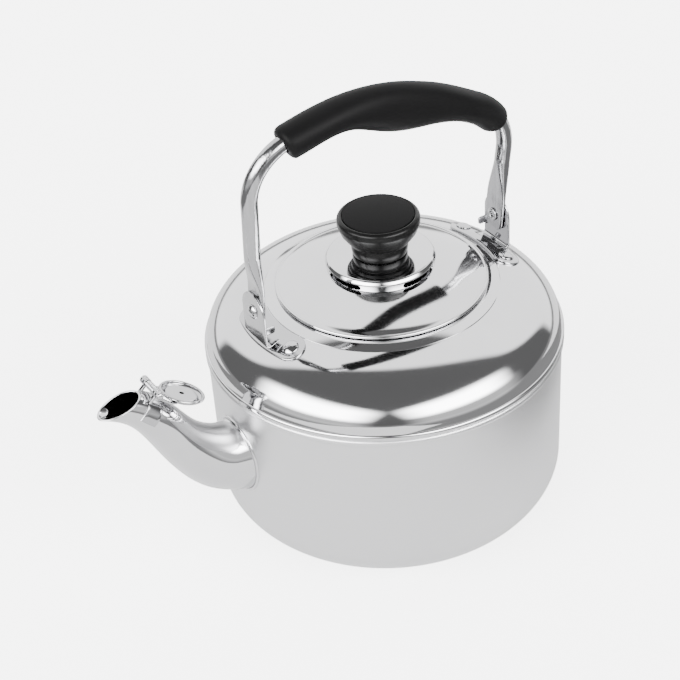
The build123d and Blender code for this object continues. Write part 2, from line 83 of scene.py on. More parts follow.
def at(reach, height, across=0.0):
    """A point in the middle plane of the kettle; across is measured towards -Y."""
    return Vector((-reach, -across, height))


# %% [markdown]
# ## The camera
# A product photographer stands a long way back with a long lens, looking down at the kettle from
# about 35 degrees. The camera comes first, so that each new piece can be judged from its place.

# %% Camera
VIEW_TURN = math.radians(32.47)
VIEW_ELEVATION = math.radians(35.545)
VIEW_ROLL = math.radians(-3.03)
VIEW_DISTANCE = 0.9531
VIEW_LENS = 82.18
VIEW_SHIFT = (-0.0648, -0.0182)

aim = Vector((0, 0, SEAM))
level = Vector((-math.sin(VIEW_TURN), -math.cos(VIEW_TURN), 0))
back = level * math.cos(VIEW_ELEVATION) + Vector((0, 0, math.sin(VIEW_ELEVATION)))
right = Vector((math.cos(VIEW_TURN), -math.sin(VIEW_TURN), 0))
up = back.cross(right)
rolled_right = right * math.cos(VIEW_ROLL) + up * math.sin(VIEW_ROLL)
rolled_up = back.cross(rolled_right)

camera_data = bpy.data.cameras.new("camera")
camera_data.lens = VIEW_LENS
camera_data.sensor_width = 36.0
camera_data.shift_x, camera_data.shift_y = VIEW_SHIFT
camera = bpy.data.objects.new("camera", camera_data)
bpy.context.scene.collection.objects.link(camera)
turn = Matrix((rolled_right, rolled_up, back)).transposed()
camera.matrix_world = Matrix.Translation(aim + back * VIEW_DISTANCE) @ turn.to_4x4()
bpy.context.scene.camera = camera
print("camera at", [round(c, 3) for c in camera.matrix_world.translation])

# %% [markdown]
# ## Materials as arithmetic
# A finish is easiest to read as a formula: a mask is a noise times something, a roughness is a base
# value plus a little of that mask. `Signal` wraps a socket and lets Python's operators add the Math
# nodes. `Finish` owns one material's tree, and its `node` method makes every other node.


# %% Signal and Finish
class Signal:
    """A number that varies over a surface. Arithmetic on it adds Math nodes."""

    def __init__(self, finish, socket):
        self.finish = finish
        self.socket = socket

    def combine(self, operation, left, right):
        return self.finish.node("ShaderNodeMath", {"operation": operation}, {0: left, 1: right})

    def __add__(self, other):
        return self.combine("ADD", self, other)

    __radd__ = __add__

    def __mul__(self, other):
        return self.combine("MULTIPLY", self, other)

    __rmul__ = __mul__

    def __sub__(self, other):
        return self.combine("SUBTRACT", self, other)

    def __rsub__(self, other):
        return self.combine("SUBTRACT", other, self)

    def __truediv__(self, other):
        return self.combine("DIVIDE", self, other)

    def __pow__(self, other):
        return self.combine("POWER", self, other)


class Tree:
    """A node tree and the few ways this lesson adds nodes to it."""

    def __init__(self, tree):
        self.tree = tree

    def put(self, socket, value):
        if isinstance(value, Signal):
            self.tree.links.new(value.socket, socket)
        else:
            socket.default_value = value

    def node(self, kind, settings=None, inputs=None, output=0):
        made = self.tree.nodes.new(kind)
        for name, value in (settings or {}).items():
            if name == "stops":
                self.set_stops(made.color_ramp, value)
            else:
                setattr(made, name, value)
        for key, value in (inputs or {}).items():
            self.put(self.find(made.inputs, key), value)
        return Signal(self, self.find(made.outputs, output))

    @staticmethod
    def find(sockets, key):
        if isinstance(key, int):
            return sockets[key]
        named = [socket for socket in sockets if key in (socket.identifier, socket.name)]
        return next((socket for socket in named if socket.enabled), named[0])

    @staticmethod
    def set_stops(ramp, stops):
        for number, (place, value) in enumerate(stops):
            element = ramp.elements[number] if number < 2 else ramp.elements.new(place)
            element.position = place
            element.color = (value, value, value, 1.0)


class Finish(Tree):
    """One material: its surface shader and the patterns that every finish shares."""

    def __init__(self, name, colour, metallic=0.0, **fixed):
        self.material = bpy.data.materials.new(name)
        self.material.use_nodes = True
        super().__init__(self.material.node_tree)
        self.shader = self.tree.nodes["Principled BSDF"]
        self.set(Base_Color=(*colour, 1.0), Metallic=metallic, **fixed)

    def set(self, **sockets):
        for name, value in sockets.items():
            self.put(self.shader.inputs[name.replace("_", " ")], value)

    def place(self):
        """The point on the surface, in metres, in the kettle's own frame."""
        return self.node("ShaderNodeTexCoord", output="Object")

    def stretched(self, x, y, z):
        return self.node("ShaderNodeMapping", inputs={"Vector": self.place(), "Scale": (x, y, z)})

    def noise(self, vector, scale, detail=3.0, roughness=0.55):
        inputs = {"Vector": vector, "Scale": scale, "Detail": detail, "Roughness": roughness}
        return self.node("ShaderNodeTexNoise", inputs=inputs, output="Fac")

    def ramp(self, value, stops):
        return self.node("ShaderNodeValToRGB", {"stops": stops}, {"Fac": value}, output="Color")

    def blend(self, factor, dark, light):
        inputs = {"Factor_Float": factor, "A_Color": (*dark, 1.0), "B_Color": (*light, 1.0)}
        return self.node("ShaderNodeMix", {"data_type": "RGBA"}, inputs, output="Result_Color")

    def bump(self, height, strength, distance):
        inputs = {"Height": height, "Strength": strength, "Distance": distance}
        return self.node("ShaderNodeBump", inputs=inputs, output="Normal")

    def around(self):
        """Distance from the kettle's axis, in metres."""
        parts = self.node("ShaderNodeSeparateXYZ", inputs={0: self.place()})
        across = Signal(self, parts.socket.node.outputs["Y"])
        return (parts * parts + across * across) ** 0.5


# %% [markdown]
# ## Finishes
# Stainless steel has two faces on this kettle. The shoulder, lid, spout and bail are buffed to a
# mirror: nearly no roughness, but never perfectly flat, with faint ripples left by the spinning
# lathe and fingertip-sized smears. The wall of the bowl is only brushed round and round, so its
# highlight spreads. The grip is satin moulded plastic and the knob is glossy bakelite.


# %% Steel finishes
def mirror_steel(name, colour, smear, ripple):
    finish = Finish(name, colour, metallic=1.0)
    smears = finish.ramp(finish.noise(finish.place(), 38.0, 4.0), [(0.35, 0.0), (0.75, 1.0)])
    finish.set(Roughness=0.045 + smears * smear)
    finish.set(Base_Color=finish.blend(smears, colour, [c * 0.94 for c in colour]))
    ripples = finish.noise(finish.place(), 16.0, 1.0)
    finish.set(Normal=finish.bump(ripples, 0.35, ripple))
    return finish.material


def spun_steel(name, colour, smear, ripple):
    """Mirror steel with the fine rings that the buffing wheel leaves on a turned shell."""
    finish = Finish(name, colour, metallic=1.0)
    smears = finish.ramp(finish.noise(finish.place(), 30.0, 4.0), [(0.35, 0.0), (0.75, 1.0)])
    radius = finish.around()
    rings = finish.noise(finish.node("ShaderNodeCombineXYZ", inputs={"X": radius * 60.0}), 60.0, 2.0)
    finish.set(Roughness=0.05 + smears * smear + rings * 0.02)
    finish.set(Base_Color=finish.blend(smears, colour, [c * 0.95 for c in colour]))
    slow = finish.noise(finish.place(), 14.0, 1.0)
    finish.set(Normal=finish.bump(slow + rings * 0.02, 0.35, ripple))
    return finish.material


def brushed_steel(name, colour):
    """Satin wall, brushed round and round: streaks that are long round the kettle and fine in height."""
    finish = Finish(name, colour, metallic=1.0)
    streaks = finish.noise(finish.stretched(0.02, 0.02, 1.0), 2400.0, 3.0, 0.7)
    cloud = finish.noise(finish.place(), 18.0, 3.0)
    finish.set(Roughness=0.27 + streaks * 0.14 + cloud * 0.06)
    finish.set(Base_Color=finish.blend(streaks, [c * 0.93 for c in colour], colour))
    finish.set(Normal=finish.bump(streaks, 0.10, 0.00006))
    return finish.material


def drawn_steel(name, colour):
    """Tube steel, with the long shallow scores that the drawing die leaves along it."""
    finish = Finish(name, colour, metallic=1.0)
    scores = finish.noise(finish.stretched(1.0, 1.0, 0.035), 420.0, 3.0, 0.6)
    smears = finish.ramp(finish.noise(finish.place(), 70.0, 3.0), [(0.35, 0.0), (0.75, 1.0)])
    finish.set(Roughness=0.07 + scores * 0.08 + smears * 0.06)
    finish.set(Base_Color=finish.blend(scores, [c * 0.82 for c in colour], [c * 1.1 for c in colour]))
    finish.set(Normal=finish.bump(scores, 0.3, 0.0005))
    return finish.material


STEEL = (0.62, 0.62, 0.63)
polished = mirror_steel("polished steel", STEEL, 0.05, 0.0006)
spun = spun_steel("spun polished steel", STEEL, 0.04, 0.0006)
brushed = brushed_steel("brushed steel", (0.66, 0.66, 0.67))
# The tube steel's base colour is set well below the body's steel: painted shade standing in for the dark
# reflections along the bail. Its scores are real.
drawn = drawn_steel("drawn tube steel", (0.40, 0.40, 0.41))
# The pressed strip steel of the brackets and whistle has a darker base colour than the body's steel: painted
# shade for their darker reflections.
pressed = mirror_steel("pressed strip steel", (0.44, 0.44, 0.45), 0.12, 0.0005)
turned_steel = mirror_steel("turned rivet steel", (0.50, 0.50, 0.51), 0.10, 0.0002)
steels = (polished, spun, brushed, drawn, pressed, turned_steel)
print("steel finishes:", ", ".join(steel.name for steel in steels))


# %% Plastic and brass finishes
def satin_plastic(name, colour, roughness, gloss, grain):
    finish = Finish(name, colour, Specular_IOR_Level=gloss)
    worn = finish.ramp(finish.noise(finish.place(), 26.0, 4.0), [(0.3, 0.0), (0.8, 1.0)])
    finish.set(Base_Color=finish.blend(worn, colour, [c * 1.25 for c in colour]))
    finish.set(Roughness=roughness + worn * 0.08)
    finish.set(Normal=finish.bump(finish.noise(finish.place(), 1600.0, 2.0), 0.25, grain))
    return finish.material


def gloss_bakelite(name, colour):
    finish = Finish(name, colour, Coat_Roughness=0.08, Specular_IOR_Level=0.12)
    swirl = finish.noise(finish.place(), 55.0, 3.0)
    finish.set(Base_Color=finish.blend(swirl, [c * 0.7 for c in colour], [c * 1.4 for c in colour]))
    finish.set(Roughness=0.24 + swirl * 0.10)
    finish.set(Coat_Weight=0.03 + swirl * 0.05)
    finish.set(Normal=finish.bump(swirl, 0.10, 0.0003))
    return finish.material


def plain_brass(name):
    finish = Finish(name, (0.70, 0.52, 0.24), metallic=1.0)
    tarnish = finish.noise(finish.place(), 220.0, 4.0)
    finish.set(Base_Color=finish.blend(tarnish, (0.62, 0.44, 0.20), (0.78, 0.60, 0.30)))
    finish.set(Roughness=0.25 + tarnish * 0.15)
    return finish.material


SATIN_BLACK = (0.003, 0.003, 0.0031)
grip_black = satin_plastic("satin black grip", SATIN_BLACK, 0.42, 0.05, 0.00005)
inlay_black = satin_plastic("satin inlay", SATIN_BLACK, 0.38, 0.03, 0.00003)
knob_black = gloss_bakelite("glossy bakelite", (0.003, 0.003, 0.003))
brass = plain_brass("plain brass")
print("other finishes:", grip_black.name, inlay_black.name, knob_black.name, brass.name)

# %% [markdown]
# ## Mesh helpers
# Almost everything on a kettle is a skin stretched over a row of cross-sections: a spun shell is the
# same outline repeated round an axis, and a tube is a ring repeated along a path. So one helper,
# `skin`, joins rows of points with faces, and `spin` makes the rows for a lathe. `rounded` puts a
# true arc on each corner of an outline, because real sheet metal has no knife edges.


# %% Skin and spin
def finish_piece(name, mesh, material, sharp=40.0):
    """Smooth-shade a mesh, put it in the scene and dress it."""
    mesh.shade_smooth()
    mesh.set_sharp_from_angle(angle=math.radians(sharp))
    mesh.materials.append(material)
    piece = bpy.data.objects.new(name, mesh)
    bpy.context.scene.collection.objects.link(piece)
    return piece


def skin(rows, ring=True, loop=False, caps=False):
    """A bmesh skinned over rows of points. ring closes each row, loop joins the last row to the first."""
    made = bmesh.new()
    layers = []
    for row in rows:
        if all((point - row[0]).length < 1e-9 for point in row):
            layers.append([made.verts.new(row[0])] * len(row))
        else:
            layers.append([made.verts.new(point) for point in row])
    pairs = list(zip(layers, layers[1:]))
    if loop:
        pairs.append((layers[-1], layers[0]))
    count = len(rows[0])
    for low, high in pairs:
        for number in range(count if ring else count - 1):
            follow = (number + 1) % count
            corners = []
            for corner in (low[number], low[follow], high[follow], high[number]):
                if corner not in corners:
                    corners.append(corner)
            if len(corners) > 2:
                made.faces.new(corners)
    if caps:
        made.faces.new(layers[0][::-1])
        made.faces.new(layers[-1])
    bmesh.ops.recalc_face_normals(made, faces=made.faces)
    return made


def to_piece(name, made, material, sharp=40.0):
    mesh = bpy.data.meshes.new(name)
    made.to_mesh(mesh)
    made.free()
    return finish_piece(name, mesh, material, sharp)


def circle(steps):
    """Angles spaced evenly once round."""
    return [2 * math.pi * step / steps for step in range(steps)]


def spin(name, outline, material, closed=True, steps=192, sharp=40.0):
    """Turn an outline of (radius, height) points about the kettle's axis. closed joins its two ends."""
    rows = [[Vector((radius * math.cos(t), radius * math.sin(t), height)) for t in circle(steps)]
            for radius, height in outline]
    return to_piece(name, skin(rows, loop=closed), material, sharp)


# %% Outlines
def rounded(corners, steps=5):
    """An outline with an arc on each corner. A corner is (x, y) or (x, y, radius of its arc)."""
    places = [Vector(corner[:2]) for corner in corners]
    line = [tuple(places[0])]
    for number in range(1, len(corners) - 1):
        radius = corners[number][2] if len(corners[number]) > 2 else 0.0
        before = places[number - 1] - places[number]
        after = places[number + 1] - places[number]
        half = before.angle(after) / 2
        if radius <= 0 or half > math.pi / 2 - 0.01:
            line.append(tuple(places[number]))
            continue
        reach = min(radius / math.tan(half), 0.98 * before.length, 0.98 * after.length)
        start = places[number] + before.normalized() * reach
        end = places[number] + after.normalized() * reach
        inwards = (before.normalized() + after.normalized()).normalized()
        middle = places[number] + inwards * reach / math.cos(half)
        first, last = start - middle, end - middle
        sweep = first.angle_signed(last)
        for step in range(steps + 1):
            turned = first.copy()
            turned.rotate(Matrix.Rotation(-sweep * step / steps, 2))
            line.append(tuple(middle + turned))
    line.append(tuple(places[-1]))
    return line


def headings(places):
    """The direction of a line at each of its points."""
    last = len(places) - 1
    return [(places[min(number + 1, last)] - places[max(number - 1, 0)]).normalized()
            for number in range(last + 1)]


def thick(line, thickness):
    """A closed outline of sheet metal: the line, and the same line moved to its left."""
    places = [Vector(point) for point in line]
    lifted = [tuple(place + Vector((-heading.y, heading.x)) * thickness)
              for place, heading in zip(places, headings(places))]
    return [tuple(place) for place in places] + lifted[::-1]


def arc(centre, radii, start, end, steps):
    """Points on an ellipse about a centre, from one angle to another, in degrees."""
    points = []
    for step in range(steps + 1):
        turn = math.radians(start + (end - start) * step / steps)
        points.append((centre[0] + radii[0] * math.cos(turn), centre[1] + radii[1] * math.sin(turn)))
    return points


def ball_line(start, middle, end, steps=12):
    """Points on the circle through three points, from the first to the last."""
    a, b, c = Vector(start), Vector(middle), Vector(end)
    d = 2 * (a.x * (b.y - c.y) + b.x * (c.y - a.y) + c.x * (a.y - b.y))
    squares = [v.x ** 2 + v.y ** 2 for v in (a, b, c)]
    x = (squares[0] * (b.y - c.y) + squares[1] * (c.y - a.y) + squares[2] * (a.y - b.y)) / d
    y = (squares[0] * (c.x - b.x) + squares[1] * (a.x - c.x) + squares[2] * (b.x - a.x)) / d
    centre = Vector((x, y))
    radius = (a - centre).length
    first = math.atan2(a.y - y, a.x - x)
    last = math.atan2(c.y - y, c.x - x)
    half = math.atan2(b.y - y, b.x - x)
    turn = (last - first) % (2 * math.pi)
    if (half - first) % (2 * math.pi) > turn:
        turn -= 2 * math.pi
    turns = [first + turn * step / steps for step in range(steps + 1)]
    return [(x + radius * math.cos(t), y + radius * math.sin(t)) for t in turns]


# %% Cut and stand for
def apply_modifiers(piece):
    """Bake a piece's modifiers into its mesh."""
    depsgraph = bpy.context.evaluated_depsgraph_get()
    baked = bpy.data.meshes.new_from_object(piece.evaluated_get(depsgraph))
    piece.modifiers.clear()
    piece.data = baked


def cut(piece, cutters, sharp=40.0):
    """Cut pieces out of another, then throw the cutters away."""
    for cutter in cutters:
        knife = piece.modifiers.new("cut", "BOOLEAN")
        knife.object = cutter
        knife.solver = "EXACT"
    apply_modifiers(piece)
    for cutter in cutters:
        bpy.data.objects.remove(cutter)
    piece.data.shade_smooth()
    piece.data.set_sharp_from_angle(angle=math.radians(sharp))


def stand_for(piece, body, slot, *nodes):
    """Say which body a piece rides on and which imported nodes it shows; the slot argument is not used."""
    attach(piece, body)
    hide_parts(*nodes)
    print("made", piece.name, len(piece.data.vertices), "points, riding on", body)


# %% [markdown]
# ## Bowl and shoulder
# The bowl is one sheet of steel, drawn deep in a press: a flat base, a generous corner and a
# straight wall. The shoulder is a second sheet, and the two are rolled together at the seam, which
# shows as two half-round beads with a groove between them. Both are spun from an outline with real
# thickness, so their edges catch the light.

# %% Bowl
CORNER = (52.0 * MM, 33.0 * MM)
BASE_RADIUS = WALL_RADIUS - CORNER[0]


def bead(low):
    """Half-round bead on the wall, as points from its foot to its top."""
    middle = (WALL_RADIUS, low + BEAD_HEIGHT / 2)
    return arc(middle, (BEAD_OUT, BEAD_HEIGHT / 2), -90, 90, 10)


bowl_line = [(0.0, 0.0), (BASE_RADIUS * 0.55, 0.0)]
bowl_line += arc((BASE_RADIUS, CORNER[1]), CORNER, -90, 0, 28)
bowl_line += [(WALL_RADIUS, height) for height in (60 * MM, 90 * MM, SEAM - BEAD_HEIGHT - 2 * MM)]
bowl_line += bead(SEAM - BEAD_HEIGHT)
inner_line = [(INNER_WALL, height) for height in (SEAM, SEAM - 6 * MM, 80 * MM)]
inner_line += arc((BASE_RADIUS, CORNER[1]), (CORNER[0] - SHEET, CORNER[1] - SHEET), 0, -90, 28)
inner_line += [(BASE_RADIUS * 0.55, SHEET), (0.0, SHEET)]
bowl = spin("bowl_shell", bowl_line + inner_line, brushed, closed=False)

# %% [markdown]
# Behind the spout the wall is a strainer, so that limescale stays in the kettle. Nineteen round
# holes are punched in rings of six and twelve round a middle one. Each hole is a real cut.

# %% Strainer holes
SPOUT_ROOT_HEIGHT = 77.5 * MM
HOLE_RADIUS = 2.4 * MM
HOLE_PITCH = 8.0 * MM


def rod(centre, along, radius, length, steps=24):
    """A plain round cutter."""
    along = along.normalized()
    side = along.orthogonal().normalized()
    other = along.cross(side)
    ends = [centre - along * length / 2, centre + along * length / 2]
    rows = [[end + (side * math.cos(t) + other * math.sin(t)) * radius for t in circle(steps)]
            for end in ends]
    return to_piece("cutter", skin(rows, caps=True), brushed)


spots = [(0.0, 0.0)]
for ring in (1, 2):
    for step in range(6 * ring):
        turned = math.radians(60 * step / ring)
        spots.append((ring * HOLE_PITCH * math.cos(turned), ring * HOLE_PITCH * math.sin(turned)))
punches = [rod(at(WALL_RADIUS, SPOUT_ROOT_HEIGHT + rise, across), Vector((1, 0, 0)), HOLE_RADIUS, 16 * MM)
           for across, rise in spots]
cut(bowl, punches)
stand_for(bowl, "body", "satin_steel", "bowl")

# %% Shoulder
DOME_CENTRE = (50.0 * MM, SEAM + 3.5 * MM)
DOME_REACH = 58.4 * MM
DOME_RISE = 32.6 * MM
NECK_OUTER = 71.1 * MM


def dome_height(radius, lift=0.0):
    """Height of the shoulder's skin at a radius, raised by lift."""
    share = (radius - DOME_CENTRE[0]) / (DOME_REACH + lift)
    return DOME_CENTRE[1] + (DOME_RISE + lift) * math.sqrt(1 - share * share)


inner_angle = math.degrees(math.acos((NECK_OUTER - 4 * MM - DOME_CENTRE[0]) / DOME_REACH))
shoulder_line = bead(SEAM)
shoulder_line += arc(DOME_CENTRE, (DOME_REACH, DOME_RISE), 4, inner_angle, 48)
shoulder_line += arc(DOME_CENTRE, (DOME_REACH - SHEET, DOME_RISE - SHEET), inner_angle, 0, 40)
shoulder_line += [(INNER_WALL, SEAM)]
shoulder = spin("shoulder_shell", shoulder_line, spun)
stand_for(shoulder, "body", "polished_steel", "shoulder")

# %% [markdown]
# ## Neck ring, lid and vent cap
# The neck ring is a pressed collar that closes the shoulder and gives the lid its seat. The lid is a
# shallow dome whose edge is rolled into a thin round wire. On top of it sits the vent cap: a little
# drum with a rounded edge and four long slots that let steam out without wetting the hand.

# %% Neck ring
neck_low, neck_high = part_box("neck_ring")
NECK_TOP = neck_high.z - 0.05 * MM
print("neck top", round(NECK_TOP, 5), "foot", round(dome_height(NECK_OUTER), 5))
neck_line = rounded([
    (NECK_OUTER + 0.1 * MM, dome_height(NECK_OUTER) + 0.1 * MM),
    (NECK_OUTER - 0.2 * MM, dome_height(NECK_OUTER) + 0.4 * MM, 0.3 * MM),
    (66.2 * MM, NECK_TOP - 0.1 * MM, 2.0 * MM),
    (64.2 * MM, NECK_TOP, 1.0 * MM),
    (61.2 * MM, NECK_TOP + 0.05 * MM, 1.6 * MM),
    (61.2 * MM, neck_low.z),
])
neck = spin("neck_collar", thick(neck_line, SHEET), spun)
stand_for(neck, "body", "polished_steel", "neck_ring")

# %% Lid
lid_low, lid_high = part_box("lid")
LID_RADIUS = lid_high.x
LID_EDGE = lid_low.z + 0.7 * MM
LID_CURVE = 151.0 * MM
ROLL = 1.05 * MM


def lid_height(radius):
    """Height of the lid's skin, a shallow dome."""
    return LID_EDGE + (LID_RADIUS ** 2 - radius ** 2) / (2 * LID_CURVE)


crown_radii = [radius * MM for radius in (2.8, 12, 24, 34, 42, 49, 54, 58, 60.5)]
crown = [(radius, lid_height(radius) + 0.4 * MM) for radius in crown_radii]
roll_centre = (LID_RADIUS - ROLL, LID_EDGE + 0.35 * MM)
roll = arc(roll_centre, (ROLL, ROLL), 140, -150, 14)
under = [(radius, height - SHEET) for radius, height in crown[::-1]]
edge = (61.6 * MM, lid_height(61.6 * MM) + 0.2 * MM)
lid = spin("lid_dome", crown + [edge] + roll + under, spun)
stand_for(lid, "lid", "polished_steel", "lid")

# %% Lid skirt
skirt_low, skirt_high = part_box("lid_skirt")
skirt_radius = skirt_high.x - 0.4 * MM
skirt_line = rounded([
    (skirt_radius - 3.6 * MM, lid_height(skirt_radius - 3.6 * MM) - 0.6 * MM),
    (skirt_radius, lid_height(skirt_radius) - 1.0 * MM, 1.2 * MM),
    (skirt_radius, skirt_low.z + 2 * MM, 1.0 * MM),
    (skirt_radius - 0.8 * MM, skirt_low.z),
])
skirt = spin("lid_inner_skirt", thick(skirt_line, -0.7 * MM), brushed)
stand_for(skirt, "lid", "satin_steel", "lid_skirt")

# %% Vent cap
vent_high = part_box("vent_cap")[1]
VENT_TOP = vent_high.z
VENT_RADIUS = vent_high.x
VENT_FOOT = lid_height(31 * MM) + 0.4 * MM
VENT_CROWN = ((3, 0.1), (8, 0.15), (14, 0.3), (20, 0.7), (25, 1.2))
vent_line = [(radius * MM, VENT_TOP - drop * MM) for radius, drop in VENT_CROWN]
vent_line += rounded([
    (27 * MM, VENT_TOP - 1.45 * MM),
    (31.6 * MM, VENT_TOP - 2.1 * MM, 2.2 * MM),
    (VENT_RADIUS - 0.1 * MM, VENT_TOP - 4.4 * MM, 1.8 * MM),
    (VENT_RADIUS - 0.5 * MM, VENT_FOOT),
], steps=8)
vent = spin("vent_drum", thick(vent_line, -SHEET), polished)

# %% [markdown]
# The four steam slots are long and have round ends. The cutter for a slot is a curved bar, whose
# sections lie closer together near its ends, where the slot's height falls off along an arc.

# %% Steam slots
SLOT_FIRST = 12.5
SLOT_ANGLE = 46.0
SLOT_HEIGHT = 3.6 * MM
SLOT_INSIDE = 25 * MM
SLOT_OUTSIDE = 38 * MM
SLOT_RADIUS = 31 * MM
CROWDING = 1.6


def slot_cutter(middle):
    """A curved bar with round ends that punches one steam slot through the cap's side."""
    rows = []
    steps = 30
    half = math.radians(SLOT_ANGLE) / 2
    centre = Vector((0, 0, VENT_FOOT + 0.1 * MM + SLOT_HEIGHT / 2))
    for step in range(steps + 1):
        share = 2 * step / steps - 1
        share = math.copysign(1 - (1 - abs(share)) ** CROWDING, share)
        turned = middle + half * share
        left = (1 - abs(share)) * half * SLOT_RADIUS
        tall = SLOT_HEIGHT / 2
        if left < tall:
            tall = math.sqrt(max(tall ** 2 - (tall - left) ** 2, 0.0)) + 0.05 * MM
        outwards = Vector((math.cos(turned), math.sin(turned), 0))
        corners = ((SLOT_INSIDE, -tall), (SLOT_OUTSIDE, -tall), (SLOT_OUTSIDE, tall), (SLOT_INSIDE, tall))
        rows.append([centre + outwards * radius + Vector((0, 0, rise)) for radius, rise in corners])
    return to_piece("slot", skin(rows, caps=True), polished)


cut(vent, [slot_cutter(math.radians(SLOT_FIRST + 90 * number)) for number in range(4)])
stand_for(vent, "lid", "polished_steel", "vent_cap")

# %% [markdown]
# ## Knob
# The knob is turned bakelite. Above its short stem, three small steps spread out to a broad rim,
# and a satin disc is let into the top with a fine ring groove round it.

# %% Knob and inlay
knob_low, knob_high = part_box("knob")
FOOT = knob_low.z
TOP = knob_high.z
RIM = knob_high.x
knob_outline = rounded([
    (0.0, FOOT),
    (16.4 * MM, FOOT, 0.6 * MM),
    (17.1 * MM, FOOT + 3.6 * MM, 9.0 * MM),
    (16.5 * MM, FOOT + 7.4 * MM, 0.5 * MM),
    (18.4 * MM, FOOT + 8.2 * MM, 0.7 * MM),
    (19.3 * MM, FOOT + 10.6 * MM, 0.4 * MM),
    (20.6 * MM, FOOT + 11.2 * MM, 0.7 * MM),
    (21.4 * MM, FOOT + 13.6 * MM, 0.4 * MM),
    (22.7 * MM, FOOT + 14.2 * MM, 0.7 * MM),
    (RIM, FOOT + 19.8 * MM, 5.0 * MM),
    (RIM - 0.1 * MM, FOOT + 23.2 * MM, 2.4 * MM),
    (22.6 * MM, TOP, 1.0 * MM),
    (21.7 * MM, TOP - 0.5 * MM, 0.4 * MM),
    (21.6 * MM, TOP - 2.0 * MM),
    (0.0, TOP - 2.0 * MM),
], steps=7)
knob = spin("knob_turning", knob_outline, knob_black, closed=False, sharp=60.0)
stand_for(knob, "lid", "black_bakelite", "knob")

inlay_low, inlay_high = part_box("knob_inlay")
DISC_TOP = inlay_high.z
DISC_FOOT = inlay_low.z + 0.3 * MM
DISC_RADIUS = 21.35 * MM
inlay_outline = ball_line((0.0, DISC_TOP), (12 * MM, DISC_TOP - 0.25 * MM), (20.6 * MM, DISC_TOP - 0.8 * MM))
inlay_outline += rounded([
    (20.8 * MM, DISC_TOP - 0.82 * MM),
    (DISC_RADIUS, DISC_TOP - 0.95 * MM, 0.4 * MM),
    (DISC_RADIUS, DISC_FOOT),
    (0.0, DISC_FOOT),
])
inlay = spin("knob_disc", inlay_outline, inlay_black, closed=False, sharp=60.0)
stand_for(inlay, "lid", "inlay_plastic", "knob_inlay")

# %% [markdown]
# ## Spout
# A swaged gooseneck starts as a straight tube and is drawn through smaller and smaller dies while it
# is bent. Its middle line and its cross-sections are given at ten stations; a natural spline, the
# curve a thin wooden batten takes when it is held at those points, joins them smoothly. Each line
# along the skin is then trimmed twice: where it meets the wall, and at the slanted mouth.


# %% Smooth lines
def unit_slopes(points):
    """The direction at each row of an array of points."""
    slopes = np.gradient(points, axis=0)
    return slopes / np.linalg.norm(slopes, axis=1)[:, None]


def through(stations, count, lead=2):
    """Rows of values on a smooth curve through the stations. The first lead columns measure distance."""
    rows = np.array(stations, float)
    knots = np.concatenate([[0], np.cumsum(np.linalg.norm(np.diff(rows[:, :lead], axis=0), axis=1))])
    gaps = np.diff(knots)
    slopes = np.diff(rows, axis=0) / gaps[:, None]
    system = np.eye(len(rows))
    bend = np.zeros_like(rows)
    for n in range(1, len(rows) - 1):
        system[n, n - 1:n + 2] = gaps[n - 1], 2 * (gaps[n - 1] + gaps[n]), gaps[n]
        bend[n] = 6 * (slopes[n] - slopes[n - 1])
    bend = np.linalg.solve(system, bend)
    found = []
    for where in np.linspace(0, knots[-1], count):
        n = min(np.searchsorted(knots, where, side="right") - 1, len(rows) - 2)
        left, right_gap, gap = knots[n + 1] - where, where - knots[n], gaps[n]
        value = (bend[n] * left ** 3 + bend[n + 1] * right_gap ** 3) / (6 * gap)
        value += (rows[n] / gap - bend[n] * gap / 6) * left
        value += (rows[n + 1] / gap - bend[n + 1] * gap / 6) * right_gap
        found.append(value)
    return np.array(found)


# %% Spout stations: reach, height, half the height and half the width of the section, in millimetres
SPOUT_STATIONS = (
    (101.0, 75.5, 24.6, 20.4),
    (110.0, 77.5, 23.6, 19.6),
    (120.0, 81.0, 21.0, 18.6),
    (132.0, 90.0, 17.4, 16.4),
    (142.0, 102.0, 14.5, 14.5),
    (150.5, 116.0, 12.9, 12.9),
    (158.5, 129.0, 11.8, 11.8),
    (168.0, 139.0, 10.2, 10.0),
    (179.0, 146.3, 9.0, 8.8),
    (192.0, 152.5, 8.6, 8.6),
)
SPOUT_WALL = 0.9 * MM
MOUTH = (177.4 * MM, 145.7 * MM)
MOUTH_TILT = math.radians(13.1)
MOUTH_OUT = at(math.sin(MOUTH_TILT), math.cos(MOUTH_TILT))
spine = through(SPOUT_STATIONS, 260) * MM
course = unit_slopes(spine[:, :2])
print("spout follows", len(spine), "places on its middle line")


# %% Spout skin
def spout_line(turned, lift):
    """One line along the spout's skin, as (reach, height, across) rows. Turn 0 is its upper side."""
    rise = (spine[:, 2] + lift) * math.cos(turned)
    across = (spine[:, 3] + lift) * math.sin(turned)
    return np.stack([spine[:, 0] - course[:, 1] * rise, spine[:, 1] + course[:, 0] * rise, across], axis=1)


def crossing(values):
    """Where along a line its values first turn from below zero to above."""
    first = int(np.argmax(values > 0))
    return first - values[first] / (values[first] - values[first - 1])


def spout_places(points, wanted):
    """Points at fractional places along one line of the spout."""
    steps = np.arange(len(points))
    return [at(*[np.interp(place, steps, points[:, column]) for column in range(3)]) for place in wanted]


def trimmed(turned, lift, count):
    """A line of the spout from inside the wall to just short of the mouth's plane."""
    points = spout_line(turned, lift)
    root = np.hypot(points[:, 0], points[:, 2]) - (WALL_RADIUS - 0.4 * MM)
    past = (points[:, 0] - MOUTH[0]) * math.sin(MOUTH_TILT)
    past += (points[:, 1] - MOUTH[1]) * math.cos(MOUTH_TILT)
    return spout_places(points, np.linspace(crossing(root), crossing(past + SPOUT_WALL / 2), count))


